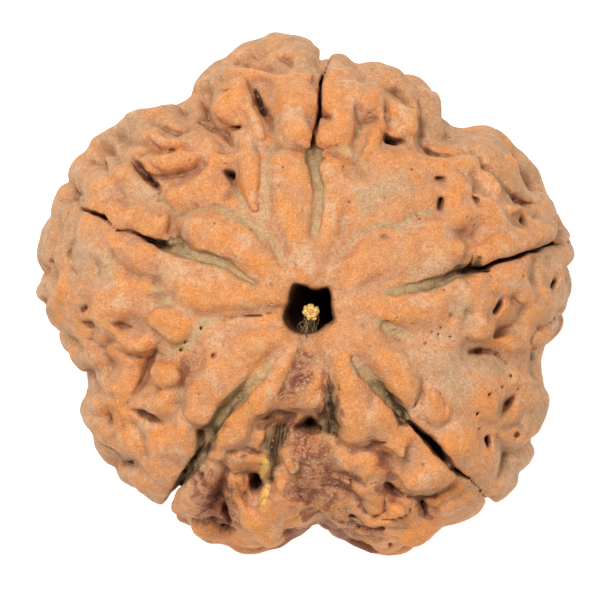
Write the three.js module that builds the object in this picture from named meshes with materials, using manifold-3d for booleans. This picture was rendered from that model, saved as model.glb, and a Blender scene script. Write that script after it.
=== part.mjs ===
// Rudraksha seed: a five-lobed woody stone, in millimetres, +Z up, standing on its lower pole.
// The plan is the view straight down on the upper pore: x to the right, y up, zero on the pore's axis.
import * as THREE from "three";
import { mergeVertices } from "three/addons/utils/BufferGeometryUtils.js";
import { SimplifyModifier } from "three/addons/modifiers/SimplifyModifier.js";
import Module from "manifold-3d";

const wasm = await Module();
wasm.setup();

// Driving dimensions
const HALF_HEIGHT = 10.1; // from the widest level to the ridges round each pore
const RELIEF = 0.9; // usual height of the ridges over the furrow floors
const SQUARENESS = 2.35; // exponent of the body's side profile: 2 is an ellipse
const FOOT_TRIM = 0.2; // how far the lowest crests are worn flat, so that the seed stands on them
const MESH_DETAIL = 52; // subdivisions of the icosahedron that is pushed out to the surface
const STONE_TRIANGLES = 11200; // what the finished stone keeps, most of them where it curves most
const START_OVER = 2.2; // how far over the floor the pushed ball starts
const SURFACE_ERROR = 0.004; // how near a pushed vertex comes to the surface
const SEARCH_MARGIN = 1.6; // how far round a vertex its ridges are looked for
const CREST_BLEND = 0.35; // rounding of the crests' shoulders
const FOOT_BLEND = 0.5; // rounding where a ridge meets the floor or its neighbour
const SEED_COLOUR = 0xd8935e;
const REMNANT_COLOUR = 0xe8c888;

// The five lobes: bearing of the slit in the middle of each, and the reach of its ridges there.
const LOBES = [
  { bearing: 14.5, reach: 11.9 },
  { bearing: 87, reach: 11.75 },
  { bearing: 154, reach: 12.3 },
  { bearing: 235, reach: 11.25 },
  { bearing: 313.5, reach: 11.75 },
];

// The valleys between the lobes: bearing, depth at the rim and half spread in degrees.
const VALLEYS = [
  { bearing: 53, depth: 1.5, spread: 6.5 },
  { bearing: 119.5, depth: 1.4, spread: 8 },
  { bearing: 194.5, depth: 1.5, spread: 8.5 },
  { bearing: 272.5, depth: 1.7, spread: 10 },
  { bearing: 347.5, depth: 1.2, spread: 9 },
];

// Places where the floor lies lower than the body: plan place, spread and depth.
const HOLLOWS = [
  { x: -0.4, y: -5.9, spread: 1.9, depth: 0.9 },
  { x: 0.6, y: -8.6, spread: 1.6, depth: 0.8 },
  { x: -3.0, y: -7.6, spread: 1.2, depth: 0.6 },
  { x: -7.3, y: -2.7, spread: 0.8, depth: 0.7 },
  { x: 0, y: 0, spread: 1.9, depth: 0.3 },
];

// Ridges and knobs of the upper half: a run of [x, y, half width], and a height over the floor.
const TOP_LOBE = [
  { run: [[0.05, 1.7, 0.5], [-0.55, 3.2, 0.62], [-0.8, 4.6, 0.78], [-0.85, 6.35, 0.8]], high: 0.95 },
  { run: [[0.1, 1.7, 0.5], [0.75, 3.0, 0.5], [1.05, 4.3, 0.45], [1.1, 6.4, 0.46]], high: 0.85 },
  { run: [[2.1, 5.3, 0.9], [3.4, 5.8, 1.2], [4.5, 6.2, 1.2]], high: 0.7 },
  { run: [[-0.55, 7.9, 0.62], [-0.6, 9.0, 0.9], [-0.8, 10.2, 1.15], [-1.0, 11.1, 1.1]], high: 1.05 },
  { run: [[0.95, 7.6, 0.58], [1.4, 8.1, 0.68], [1.6, 9.0, 0.7]], high: 1.05 },
  { run: [[0.95, 9.3, 0.4], [1.25, 10.2, 0.5], [1.35, 11.0, 0.6]], high: 0.95 },
  { run: [[2.2, 9.5, 0.6], [2.95, 9.25, 0.45], [3.05, 9.7, 0.4]], high: 0.95 },
  { run: [[3.15, 8.2, 0.3], [2.75, 7.5, 0.42], [2.55, 6.9, 0.42]], high: 0.9 },
  { run: [[3.9, 8.6, 0.6], [4.4, 8.1, 0.6], [4.8, 7.6, 0.35]], high: 0.95 },
  { run: [[-2.6, 9.9, 0.45], [-2.5, 8.9, 0.5], [-2.2, 8.15, 0.6], [-2.0, 7.8, 0.45]], high: 0.95 },
  { run: [[-2.8, 9.3, 0.45], [-3.3, 9.0, 0.6], [-3.7, 8.7, 0.6]], high: 1.15 },
  { run: [[-2.95, 7.5, 0.55], [-2.75, 6.6, 0.55], [-2.5, 5.6, 0.5], [-2.25, 4.75, 0.35]], high: 0.9 },
  { run: [[-4.3, 7.3, 0.55], [-4.35, 6.5, 0.65]], high: 0.85 },
  { run: [[-3.3, 10.4, 0.9], [-2.2, 10.9, 0.9]], high: 0.75 },
  { run: [[2.6, 10.2, 0.75], [3.9, 9.8, 0.65], [4.9, 9.2, 0.6], [5.2, 8.3, 0.5]], high: 0.75 },
];
const LEFT_LOBE = [
  { run: [[-1.35, 1.65, 0.4], [-2.2, 2.45, 0.65], [-3.2, 3.1, 0.85], [-4.6, 3.5, 0.85]], high: 0.9 },
  { run: [[-1.6, 0.5, 0.4], [-2.6, 0.55, 0.55], [-4.0, 0.65, 0.9], [-5.8, 1.3, 0.85]], high: 0.85 },
  { run: [[-6.9, 6.55, 0.4], [-6.0, 6.5, 0.5], [-5.2, 6.55, 0.38]], high: 1.1 },
  { run: [[-5.9, 5.0, 0.5], [-5.0, 5.4, 0.62], [-4.15, 5.5, 0.7]], high: 0.85 },
  { run: [[-9.6, 5.6, 0.8], [-8.4, 5.3, 1.0], [-7.8, 5.7, 0.8]], high: 0.85 },
  { run: [[-8.5, 4.4, 0.5], [-7.3, 4.15, 0.5], [-6.45, 3.75, 0.45]], high: 1.0 },
  { run: [[-9.4, 3.2, 0.9], [-8.0, 2.4, 1.0], [-7.4, 2.4, 0.7]], high: 0.95 },
  { run: [[-8.3, 1.2, 1.0], [-8.2, 0.4, 0.9]], high: 0.9 },
  { run: [[-10.2, 6.3, 0.7], [-9.4, 6.8, 0.7]], high: 0.8 },
  { run: [[-8.6, 7.4, 0.8], [-7.5, 8.0, 0.8]], high: 0.85 },
  { run: [[-10.7, 3.4, 0.8], [-11.1, 2.3, 0.8]], high: 0.85 },
  { run: [[-10.6, 1.0, 0.8], [-10.9, 0.0, 0.7]], high: 0.85 },
  { run: [[-9.2, -0.2, 0.6], [-8.3, -0.3, 0.4]], high: 0.8 },
];
const LOWER_LEFT_LOBE = [
  { run: [[-6.35, -0.3, 0.75], [-5.9, -0.7, 0.8]], high: 1.1 },
  { run: [[-8.0, -1.3, 0.5], [-7.2, -1.5, 0.62]], high: 1.0 },
  { run: [[-6.3, -2.75, 0.62], [-6.15, -3.1, 0.68]], high: 1.1 },
  { run: [[-7.3, -4.0, 0.6], [-6.4, -4.1, 0.68]], high: 0.95 },
  { run: [[-1.3, -1.1, 0.4], [-2.4, -1.55, 0.75], [-3.6, -2.3, 1.15], [-4.3, -3.4, 1.0],
    [-4.6, -4.3, 0.7]], high: 0.95 },
  { run: [[-5.5, -5.5, 0.55], [-6.5, -5.9, 0.95], [-7.7, -5.5, 0.95]], high: 0.95 },
  { run: [[-6.2, -6.6, 0.8], [-7.0, -7.2, 0.9]], high: 0.9 },
  { run: [[-8.6, -3.6, 0.8], [-9.3, -4.5, 0.7], [-8.6, -5.2, 0.6]], high: 0.9 },
  { run: [[-1.0, -2.2, 0.4], [-1.8, -3.3, 0.5], [-2.6, -4.6, 0.62], [-3.35, -5.6, 0.65],
    [-3.9, -6.4, 0.35]], high: 0.9 },
  { run: [[-4.3, -7.3, 0.4], [-4.9, -8.4, 0.6], [-4.4, -9.3, 0.7]], high: 0.95 },
  { run: [[-3.45, -6.75, 0.28], [-2.8, -6.85, 0.32], [-2.3, -6.65, 0.3]], high: 1.1 },
  { run: [[-3.3, -7.5, 0.28], [-3.1, -8.2, 0.34], [-2.6, -9.0, 0.45]], high: 1.15 },
  { run: [[-1.8, -8.0, 0.25], [-1.9, -8.8, 0.45], [-1.7, -9.4, 0.7]], high: 1.2 },
  { run: [[-0.7, -6.6, 0.35], [-0.6, -6.7, 0.35]], high: 0.9 },
];
const LOWER_RIGHT_LOBE = [
  { run: [[0.9, -1.4, 0.5], [1.45, -2.3, 0.45], [1.75, -3.4, 0.6], [1.95, -4.5, 0.8],
    [2.0, -5.25, 0.88]], high: 1.0 },
  { run: [[2.9, -4.8, 0.8], [3.7, -5.6, 0.75], [4.0, -6.2, 0.4]], high: 0.95 },
  { run: [[4.4, -7.3, 0.75], [5.3, -6.9, 0.85], [5.9, -7.4, 0.5]], high: 0.95 },
  { run: [[1.2, -6.6, 0.22], [2.0, -6.8, 0.3], [2.7, -7.0, 0.38]], high: 1.15 },
  { run: [[2.6, -7.4, 0.3], [2.85, -8.2, 0.42], [2.95, -8.6, 0.36]], high: 1.35 },
  { run: [[3.9, -8.7, 0.45], [3.2, -9.4, 0.6], [4.6, -9.6, 0.6]], high: 0.95 },
  { run: [[5.9, -8.3, 0.6], [7.0, -8.3, 0.6]], high: 0.85 },
  { run: [[1.3, -0.95, 0.45], [2.4, -1.5, 0.6], [3.4, -2.2, 0.75], [4.2, -3.2, 0.75],
    [4.5, -4.0, 0.5]], high: 0.9 },
  { run: [[5.35, -3.8, 0.55], [5.55, -4.5, 0.6]], high: 0.95 },
  { run: [[6.3, -5.5, 0.8], [7.2, -6.2, 0.9], [7.9, -7.2, 0.7]], high: 0.95 },
  { run: [[5.9, -2.2, 0.8], [7.0, -2.9, 1.0], [7.3, -3.8, 0.9]], high: 0.6 },
  { run: [[8.9, -3.2, 0.7], [9.6, -4.3, 0.8], [8.9, -5.3, 0.7]], high: 0.85 },
];
const RIGHT_LOBE = [
  { run: [[1.3, 1.35, 0.45], [2.5, 2.15, 0.8], [3.8, 2.4, 0.95], [5.4, 2.6, 0.95],
    [6.4, 2.75, 0.6]], high: 0.9 },
  { run: [[7.6, 2.55, 0.5], [8.3, 2.9, 0.62], [9.7, 3.4, 0.6], [10.4, 3.7, 0.6]], high: 1.0 },
  { run: [[5.7, 3.7, 0.6], [7.0, 4.3, 0.8], [8.0, 4.1, 0.7]], high: 0.8 },
  { run: [[6.3, 5.5, 0.6], [7.0, 5.2, 0.5]], high: 0.85 },
  { run: [[5.6, 6.5, 0.6], [6.9, 6.5, 0.5], [7.9, 5.9, 0.45], [8.25, 5.3, 0.4]], high: 0.9 },
  { run: [[8.3, 7.2, 0.7], [9.2, 6.4, 0.7], [9.8, 5.4, 0.6]], high: 0.85 },
  { run: [[9.0, 4.6, 0.45], [10.1, 4.6, 0.6]], high: 0.9 },
  { run: [[1.35, 0.3, 0.45], [2.6, 0.25, 0.65], [3.9, 0.2, 0.8], [5.2, 0.4, 0.85]], high: 0.85 },
  { run: [[6.4, 0.6, 0.9], [7.6, 0.8, 0.95], [8.8, 1.2, 0.9]], high: 0.9 },
  { run: [[9.1, 0.3, 0.5], [10.2, 0.9, 0.7], [10.7, 2.0, 0.7]], high: 0.9 },
  { run: [[7.3, -0.6, 0.7], [8.9, -1.3, 0.6], [10.0, -0.9, 0.7]], high: 0.8 },
];

// Knobs of the rim, which draw the outline seen from above: bearing, reach, half width and level.
const RIM_KNOBS = [
  [4, 11.55, 0.75, 0.4], [14, 12.0, 0.7, -0.4], [23.5, 11.85, 0.75, 0.6], [35, 11.8, 0.9, 0.2],
  [44, 11.6, 0.8, -0.3], [60, 11.1, 0.75, 0.3], [67, 11.4, 0.7, -0.6], [76, 11.4, 0.8, 0.5],
  [81.5, 11.5, 0.5, -0.2], [92, 12.0, 0.9, 0.2], [97, 12.15, 0.8, -0.7], [104, 12.0, 0.5, 0.8],
  [112, 11.7, 0.85, -0.2], [129, 11.5, 0.8, 0.4], [139, 11.9, 0.9, -0.4], [149, 12.35, 0.85, 0.7],
  [156, 12.4, 0.6, -0.5], [165, 12.4, 0.9, 0.3], [176, 12.3, 0.5, -0.2], [181, 11.8, 0.8, 0.6],
  [188, 11.0, 0.7, -0.8], [204, 11.2, 0.65, 0.4], [213, 11.3, 0.8, -0.5], [222, 11.2, 0.75, 0.6],
  [229.5, 10.9, 0.7, -0.2], [236, 10.7, 0.5, 0.4], [246, 11.3, 0.85, -0.4], [255, 10.95, 0.7, 0.5],
  [262, 10.75, 0.55, -0.4], [281, 10.4, 0.5, 0.3], [288.5, 11.2, 0.75, -0.3], [297, 11.3, 0.75, 0.5],
  [308, 11.55, 0.7, -0.6], [318, 12.0, 0.85, 0.3], [326, 12.0, 0.6, -0.3], [337, 11.45, 0.9, 0.4],
  [344.5, 10.8, 0.4, -0.4], [356, 11.0, 0.7, 0.2], [53, 10.35, 0.7, 0.1], [120, 10.75, 0.8, -0.2],
  [195, 10.35, 0.8, 0.2], [268, 9.95, 0.7, 0.4], [276, 9.95, 0.6, -0.4], [349, 10.65, 0.8, -0.3],
];

// Slits in the middle of the lobes: a run of [x, y, half width, depth under the floor].
const SLITS = [
  [[2.8, 0.95, 0.2, 0.0], [3.8, 1.05, 0.22, 0.2], [5.0, 1.3, 0.22, 0.4], [6.0, 1.65, 0.2, 0.6],
    [7.0, 1.85, 0.2, 1.2], [7.8, 1.95, 0.2, 1.8], [8.5, 2.25, 0.1, 1.5], [9.6, 2.5, 0.12, 1.8],
    [10.7, 3.1, 0.1, 1.0]],
  [[0.2, 2.9, 0.2, 0.0], [0.25, 4.5, 0.27, 0.1], [0.25, 5.8, 0.26, 0.1], [0.12, 6.8, 0.2, 0.4],
    [0.25, 7.6, 0.16, 0.8], [0.42, 8.6, 0.13, 1.8], [0.5, 9.4, 0.13, 2.2], [0.6, 10.2, 0.14, 2.2],
    [0.85, 11.0, 0.1, 1.6]],
  [[-2.2, 1.2, 0.2, 0.0], [-3.5, 1.95, 0.25, 0.05], [-5.0, 2.45, 0.22, 0.15], [-6.2, 2.8, 0.22, 0.8],
    [-6.9, 3.15, 0.14, 1.6], [-7.7, 3.55, 0.1, 1.2], [-8.9, 4.05, 0.1, 1.4],
    [-9.6, 4.45, 0.1, 1.8], [-10.5, 4.95, 0.1, 1.0]],
  [[-1.7, -2.3, 0.2, 0.0], [-2.4, -3.0, 0.25, 0.1], [-3.1, -3.9, 0.28, 0.4], [-3.8, -4.8, 0.27, 0.6],
    [-4.4, -5.7, 0.25, 0.9], [-4.9, -6.5, 0.22, 1.2], [-5.4, -7.1, 0.22, 1.4], [-5.9, -7.9, 0.2, 1.6]],
  [[1.8, -2.1, 0.2, 0.0], [2.6, -2.9, 0.3, 0.3], [3.5, -3.7, 0.25, 0.9], [4.2, -4.5, 0.12, 1.4],
    [5.3, -5.7, 0.17, 2.2], [6.0, -6.5, 0.15, 2.0], [6.8, -7.1, 0.1, 1.4], [7.6, -8.0, 0.1, 1.2]],
];

// Pits of the upper half: plan place, half width, depth under the crests.
const PITS = [
  [-2.0, 9.0, 0.25, 2.4], [-3.3, 7.9, 0.3, 1.6], [-3.5, 6.05, 0.26, 2.2], [-6.9, 5.95, 0.3, 2.2],
  [3.4, 7.6, 0.3, 2.2], [2.4, 8.3, 0.22, 1.4], [5.6, 7.1, 0.22, 1.3], [-1.0, 11.1, 0.22, 1.2],
  [5.75, 4.8, 0.15, 1.7], [5.7, 5.8, 0.2, 1.2], [8.35, 0.15, 0.22, 1.6], [8.4, -0.95, 0.22, 1.2],
  [7.5, -1.8, 0.2, 1.5], [7.95, -5.7, 0.2, 1.8], [8.8, -4.2, 0.22, 1.3], [-9.85, 0.15, 0.2, 1.7],
  [-9.7, -0.65, 0.2, 1.4], [-8.1, -0.7, 0.2, 1.1], [-7.2, -2.9, 0.22, 1.9], [-7.0, -4.7, 0.25, 1.4],
  [-7.9, -6.75, 0.2, 1.2], [-2.5, -7.7, 0.42, 2.6], [-3.75, -8.0, 0.26, 2.2], [-0.1, -5.1, 0.3, 1.9],
  [0.85, -4.0, 0.25, 1.2], [3.5, -7.95, 0.32, 1.9], [1.9, -9.05, 0.18, 1.9], [5.1, -8.5, 0.16, 1.6],
  [9.3, 4.0, 0.18, 1.2], [7.5, 4.8, 0.2, 1.0], [6.7, 3.5, 0.25, 1.1], [-6.8, 1.4, 0.25, 1.2],
];

// How far the hollows run on below the widest level, and the dish of the floor round the lower pore
const HOLLOW_FADE = 3;
const DISH_DEPTH = 0.55;
const DISH_SPREAD = 2.6;

// The collar of fused petal roots round each pore
const COLLAR_RADIUS = 1.75;
const COLLAR_HALF_WIDTH = 0.6;
const COLLAR_HEIGHT = 0.65;

// A rim knob's run downwards: levels in degrees from its own, its taper, lean and least height
const RIM_RUN = [14, 0, -9];
const RIM_TAPER = [0.7, 1, 0.8];
const RIM_LEVEL_STEP = 6;
const RIM_LEAN = 0.12;
const RIM_LEAST = 0.35;

// How high over the floor the slits and pits are placed, as they are seen from above
const CUT_LIFT = 0.45;

// A slit's blade: how far it starts over the floor, its widths there and at its bottom, and its least
// half width; then the levels under the rim where it is drawn, its half widths and depths there
const BLADE_OVER = 1.8;
const BLADE_FLARE = 1.5;
const BLADE_NARROW = 0.6;
const BLADE_LEAST = 0.11;
const BLADE_LEVELS = [4, -12, -28, -44, -58, -68];
const BLADE_WIDTHS = [0.12, 0.22];
const BLADE_DEPTHS = [0.8, 1.6];
const BLADE_STRAY = 1.5;
const BLADE_TURN_FROM = 12;
const BLADE_TURN_OVER = 40;

// A pit's peg: corners, widths at its two ends as shares, and how far it starts over the crests
const PEG_CORNERS = 6;
const PEG_FLARE = 1.25;
const PEG_NARROW = 0.55;
const PEG_OVER = 1;

// The through-bore: half width, turn of its five corners, and how far it bends off its axis.
const BORE_RADIUS = 1.0;
const BORE_WAIST = 0.62;
const BORE_CORNER_BEARING = 50;
const BORE_BEND = 1.7;
const BORE_BEND_ENDS = 8.5;
const BORE_LEVELS = [-12, -8.5, -6, -3, 0, 3, 6, 8.5, 12];
const BORE_CORNERS = [1.2, 0.94];
const BORE_LOPSIDED = 0.1;

// The unseen half follows a rule: rows of knobs between each slit and the next valley.
const ROWS = [-14, -26, -38, -50]; // levels of the rows, in degrees from the widest level
const KNOB_SPACING = 2.3;
const LINK_CHANCE = 0.55;
const PIT_CHANCE = 0.28;
const KNOB_WIDTHS = [0.75, 1.15];
const KNOB_HEIGHTS = [0.6, 1.05];
const KNOB_STRAY = 0.4;
const KNOB_LEVEL_STRAY = 6;
const KNOB_MARGIN = 0.03;
const LINK_WAIST = 0.72;
const LINK_END = 0.9;
const LONE_LENGTH = 4;
const LOWER_PIT = { turn: 7, level: -6, width: 0.24, depth: 1.5 };
const PETAL_DISTANCES = [1.75, 3.4, 5.4];
const PETAL_TURNS = [14, 13, 17];
const PETAL_WIDTHS = [0.45, 0.75, 1.02];
const PETAL_HEIGHT = 0.95;
const PETAL_STRAY = 0.4;
const SEED_OF_RULE = 5108;

// What is left of the core: a crumb of pith, its place and stretch, on a tuft of fibre from the wall
const CRUMB_RADIUS = 0.36;
const CRUMB_PLACE = [0.1, -0.02, 9.0];
const CRUMB_STRETCH = [0.92, 1.02, 0.8];
const TUFT_PATH = [[0.1, -0.1, 8.95], [0.02, -0.5, 8.75], [-0.1, -0.95, 8.6], [-0.2, -1.5, 8.55]];
const TUFT_HALF = 0.14;
const TUFT_GROWTH = 0.02;
const TUFT_FLATNESS = 1.5;

// Small helpers
const radians = THREE.MathUtils.degToRad;
const mix = THREE.MathUtils.lerp;

function randomFrom(start) {
  let state = start;
  return () => {
    state = (Math.imul(state, 1664525) + 1013904223) >>> 0;
    return state / 4294967296;
  };
}

function turnBetween(a, b) {
  return THREE.MathUtils.euclideanModulo(a - b + 180, 360) - 180;
}

function smoothLeast(a, b, blend) {
  const part = Math.max(blend - Math.abs(a - b), 0) / blend;
  return Math.min(a, b) - part * part * blend * 0.25;
}

function smoothMost(a, b, blend) {
  return -smoothLeast(-a, -b, blend);
}

// Body: reach of the ridges for a bearing, then the furrow floor for a direction in space.
function lobeReach(bearing) {
  const next = LOBES.findIndex((lobe) => lobe.bearing > bearing);
  const after = LOBES[Math.max(next, 0)];
  const before = LOBES.at(Math.max(next, 0) - 1);
  const span = THREE.MathUtils.euclideanModulo(after.bearing - before.bearing, 360);
  const share = THREE.MathUtils.euclideanModulo(bearing - before.bearing, 360) / span;
  return mix(before.reach, after.reach, (1 - Math.cos(Math.PI * share)) / 2);
}

function valleyDepth(bearing) {
  return VALLEYS.reduce(
    (sum, v) => sum + v.depth * Math.exp(-((turnBetween(bearing, v.bearing) / v.spread) ** 2)),
    0,
  );
}

function bump(x, y, spread) {
  return Math.exp(-(x * x + y * y) / spread ** 2);
}

function floorRadius(direction) {
  const level = Math.hypot(direction.x, direction.y);
  const turn = THREE.MathUtils.radToDeg(Math.atan2(direction.y, direction.x));
  const bearing = THREE.MathUtils.euclideanModulo(turn, 360);
  const wide = lobeReach(bearing) - valleyDepth(bearing) * level * level - RELIEF;
  const high = HALF_HEIGHT - RELIEF;
  const outwards = (level / wide) ** SQUARENESS;
  const upwards = (Math.abs(direction.z) / high) ** SQUARENESS;
  const radius = (outwards + upwards) ** (-1 / SQUARENESS);
  const x = direction.x * radius;
  const y = direction.y * radius;
  const below = Math.max(-direction.z * radius, 0);
  const hollow = HOLLOWS.reduce((sum, h) => sum + h.depth * bump(x - h.x, y - h.y, h.spread), 0);
  const dish = below > 0 ? DISH_DEPTH * bump(x, y, DISH_SPREAD) : 0;
  return radius - hollow * bump(below, 0, HOLLOW_FADE) - dish;
}

// Point of the floor, on the upper or the lower half, so that what stands at a lift over it is seen at
// a plan place.
function floorPoint(x, y, half = 1, lift = 0) {
  const bearing = Math.atan2(y, x);
  const wanted = Math.hypot(x, y);
  const direction = new THREE.Vector3();
  let low = 0;
  let high = Math.PI / 2;
  for (let step = 0; step < 24; step += 1) {
    const middle = (low + high) / 2;
    const flat = Math.cos(middle);
    direction.set(flat * Math.cos(bearing), flat * Math.sin(bearing), half * Math.sin(middle));
    if ((floorRadius(direction) + lift) * flat > wanted) {
      low = middle;
    } else {
      high = middle;
    }
  }
  return direction.clone().multiplyScalar(floorRadius(direction));
}

// Point of the floor at a bearing and a level, both in degrees.
function floorAt(bearing, level) {
  const b = radians(bearing);
  const e = radians(level);
  const flat = Math.cos(e);
  const direction = new THREE.Vector3(flat * Math.cos(b), flat * Math.sin(b), Math.sin(e));
  return direction.multiplyScalar(floorRadius(direction));
}

// A ridge as balls along its run, each sunk so that its top stands at the ridge's height.
function ridgeOf(points, widths, high) {
  const balls = points.map((point, i) => ({
    centre: point.clone().setLength(point.length() + high - widths[i]),
    width: widths[i],
  }));
  const middle = new THREE.Vector3();
  balls.forEach((ball) => middle.addScaledVector(ball.centre, 1 / balls.length));
  const around = Math.max(...balls.map((ball) => ball.centre.distanceTo(middle) + ball.width));
  return { balls, high, middle, around };
}

// Distance from a point to one tapered length of a ridge
const along = new THREE.Vector3();
const across = new THREE.Vector3();
function lengthDistance(point, a, b) {
  along.subVectors(b.centre, a.centre);
  across.subVectors(point, a.centre);
  const length = Math.max(along.lengthSq(), 1e-9);
  const share = THREE.MathUtils.clamp(across.dot(along) / length, 0, 1);
  return across.addScaledVector(along, -share).length() - mix(a.width, b.width, share);
}

// Ridges of the upper half, of the rim, and of the unseen half
function upperRidges() {
  const lobes = [TOP_LOBE, LEFT_LOBE, LOWER_LEFT_LOBE, LOWER_RIGHT_LOBE, RIGHT_LOBE];
  return lobes.flat().map(({ run, high }) => {
    const points = run.map(([x, y, width]) => floorPoint(x, y, 1, high - width));
    return ridgeOf(points, run.map(([, , width]) => width), high);
  });
}

function rimRidges() {
  return RIM_KNOBS.map(([bearing, reach, width, level]) => {
    const levels = RIM_RUN.map((step) => level * RIM_LEVEL_STEP + step);
    const points = levels.map((l) => floorAt(bearing + l * RIM_LEAN * Math.sign(level), l));
    const high = Math.max(reach - Math.hypot(points[1].x, points[1].y), RIM_LEAST);
    return ridgeOf(points, RIM_TAPER.map((share) => share * width), high);
  });
}

function sectors() {
  const edges = [...LOBES, ...VALLEYS].map((item) => item.bearing).sort((a, b) => a - b);
  const ends = [...edges.slice(1), edges[0] + 360];
  return edges.map((from, i) => ({ from, to: ends[i] }));
}

// One row of knobs at a level, between two bearings
function knobRow(from, to, level, random) {
  const start = floorAt(from, level);
  const arc = radians(to - from) * Math.hypot(start.x, start.y);
  const count = Math.max(1, Math.round(arc / KNOB_SPACING));
  const row = [];
  for (let i = 0; i < count; i += 1) {
    const share = (i + 0.5 + (random() - 0.5) * KNOB_STRAY) / count;
    const inset = mix(KNOB_MARGIN, 1 - KNOB_MARGIN, share);
    row.push({
      bearing: mix(from, to, inset),
      level: level + (random() - 0.5) * KNOB_LEVEL_STRAY,
      width: mix(...KNOB_WIDTHS, random()),
      high: mix(...KNOB_HEIGHTS, random()),
    });
  }
  return row;
}

// A ridge from a knob to the one that it has grown together with
function linkOf(knob, partner) {
  const waist = floorAt((knob.bearing + partner.bearing) / 2, (knob.level + partner.level) / 2);
  const points = [floorAt(knob.bearing, knob.level), waist, floorAt(partner.bearing, partner.level)];
  return ridgeOf(points, [knob.width, knob.width * LINK_WAIST, partner.width * LINK_END], knob.high);
}

function lowerRidges(random) {
  const ridges = [];
  const pits = [];
  for (const { from, to } of sectors()) {
    let above = [];
    for (const level of ROWS) {
      const row = knobRow(from, to, level, random);
      row.forEach((knob, i) => {
        const partners = [];
        if (i + 1 < row.length && random() < LINK_CHANCE) {
          partners.push(row[i + 1]);
        }
        if (above.length && random() < LINK_CHANCE) {
          partners.push(above[Math.min(i, above.length - 1)]);
        }
        if (!partners.length) {
          partners.push({ ...knob, level: knob.level + LONE_LENGTH });
        }
        partners.forEach((partner) => ridges.push(linkOf(knob, partner)));
        if (random() < PIT_CHANCE) {
          pits.push(floorAt(knob.bearing + LOWER_PIT.turn, knob.level + LOWER_PIT.level));
        }
      });
      above = row;
    }
  }
  return { ridges, pits };
}

// The collar round a pore, from which the petals spread
function collar(half) {
  const points = [];
  for (let i = 0; i <= 12; i += 1) {
    const turn = radians(30 * i);
    points.push(floorPoint(COLLAR_RADIUS * Math.cos(turn), COLLAR_RADIUS * Math.sin(turn), half));
  }
  return ridgeOf(points, points.map(() => COLLAR_HALF_WIDTH), COLLAR_HEIGHT);
}

// Petals round the lower pore, a pair for each lobe, like those round the upper one
function lowerPetals(random) {
  return LOBES.flatMap(({ bearing }) =>
    [-1, 1].map((side) => {
      const points = PETAL_DISTANCES.map((distance, i) => {
        const turn = radians(bearing + side * (PETAL_TURNS[i] + (random() - 0.5) * PETAL_STRAY));
        const reach = distance + (random() - 0.5) * PETAL_STRAY;
        return floorPoint(reach * Math.cos(turn), reach * Math.sin(turn), -1);
      });
      return ridgeOf(points, PETAL_WIDTHS, PETAL_HEIGHT);
    }),
  );
}

// The whole surface: how far a point stands off the floor with its ridges grown on it
function surfaceDistance(point, direction, ridges) {
  const overFloor = point.length() - floorRadius(direction);
  let distance = overFloor;
  for (const ridge of ridges) {
    if (point.distanceTo(ridge.middle) - ridge.around > distance + FOOT_BLEND) continue;
    for (let i = 1; i < ridge.balls.length; i += 1) {
      const length = lengthDistance(point, ridge.balls[i - 1], ridge.balls[i]);
      const capped = smoothMost(length, overFloor - ridge.high, CREST_BLEND);
      distance = smoothLeast(distance, capped, FOOT_BLEND);
    }
  }
  return distance;
}

// The stone before it is cut: every vertex of a ball moves in along its ray until it meets the surface.
function stoneMesh(ridges) {
  const geometry = new THREE.IcosahedronGeometry(1, MESH_DETAIL);
  geometry.deleteAttribute("normal");
  geometry.deleteAttribute("uv");
  const merged = mergeVertices(geometry, 1e-5);
  const place = merged.getAttribute("position");
  const direction = new THREE.Vector3();
  const point = new THREE.Vector3();
  for (let i = 0; i < place.count; i += 1) {
    direction.fromBufferAttribute(place, i).normalize();
    const near = ridges.filter(({ middle, around }) => {
      return middle.angleTo(direction) * middle.length() < around + SEARCH_MARGIN;
    });
    let radius = floorRadius(direction) + START_OVER;
    for (let step = 0; step < 60; step += 1) {
      point.copy(direction).multiplyScalar(radius);
      const distance = surfaceDistance(point, direction, near);
      if (distance < SURFACE_ERROR) break;
      radius -= Math.max(distance * 0.8, SURFACE_ERROR);
    }
    place.setXYZ(i, direction.x * radius, direction.y * radius, direction.z * radius);
  }
  return merged;
}

// Cutting tools
function manifoldOf(geometry) {
  const bare = mergeVertices(geometry, 1e-5);
  return new wasm.Manifold(
    new wasm.Mesh({
      numProp: 3,
      vertProperties: new Float32Array(bare.getAttribute("position").array),
      triVerts: new Uint32Array(bare.index.array),
    }),
  );
}

// A closed skin over a row of rings that all have the same number of corners
function skinOver(rings) {
  const corners = rings[0].length;
  const positions = [];
  const faces = [];
  const last = rings.length - 1;
  rings.forEach((ring) => ring.forEach((corner) => positions.push(corner.x, corner.y, corner.z)));
  for (let r = 0; r < last; r += 1) {
    for (let c = 0; c < corners; c += 1) {
      const a = r * corners + c;
      const b = r * corners + ((c + 1) % corners);
      faces.push(a, b, b + corners, a, b + corners, a + corners);
    }
  }
  for (let c = 1; c < corners - 1; c += 1) {
    faces.push(0, c + 1, c);
    faces.push(last * corners, last * corners + c, last * corners + c + 1);
  }
  const skin = new THREE.BufferGeometry();
  skin.setAttribute("position", new THREE.Float32BufferAttribute(positions, 3));
  skin.setIndex(faces);
  return skin;
}

// The main body of a cut solid: sealed pockets are filled and loose scraps dropped
function mainBody(solid) {
  return solid.decompose().sort((a, b) => b.volume() - a.volume())[0];
}

function facingOut(solid, geometry) {
  if (solid.volume() > 0) return solid;
  const index = geometry.index.array;
  for (let i = 0; i < index.length; i += 3) {
    [index[i + 1], index[i + 2]] = [index[i + 2], index[i + 1]];
  }
  return manifoldOf(geometry);
}

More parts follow.
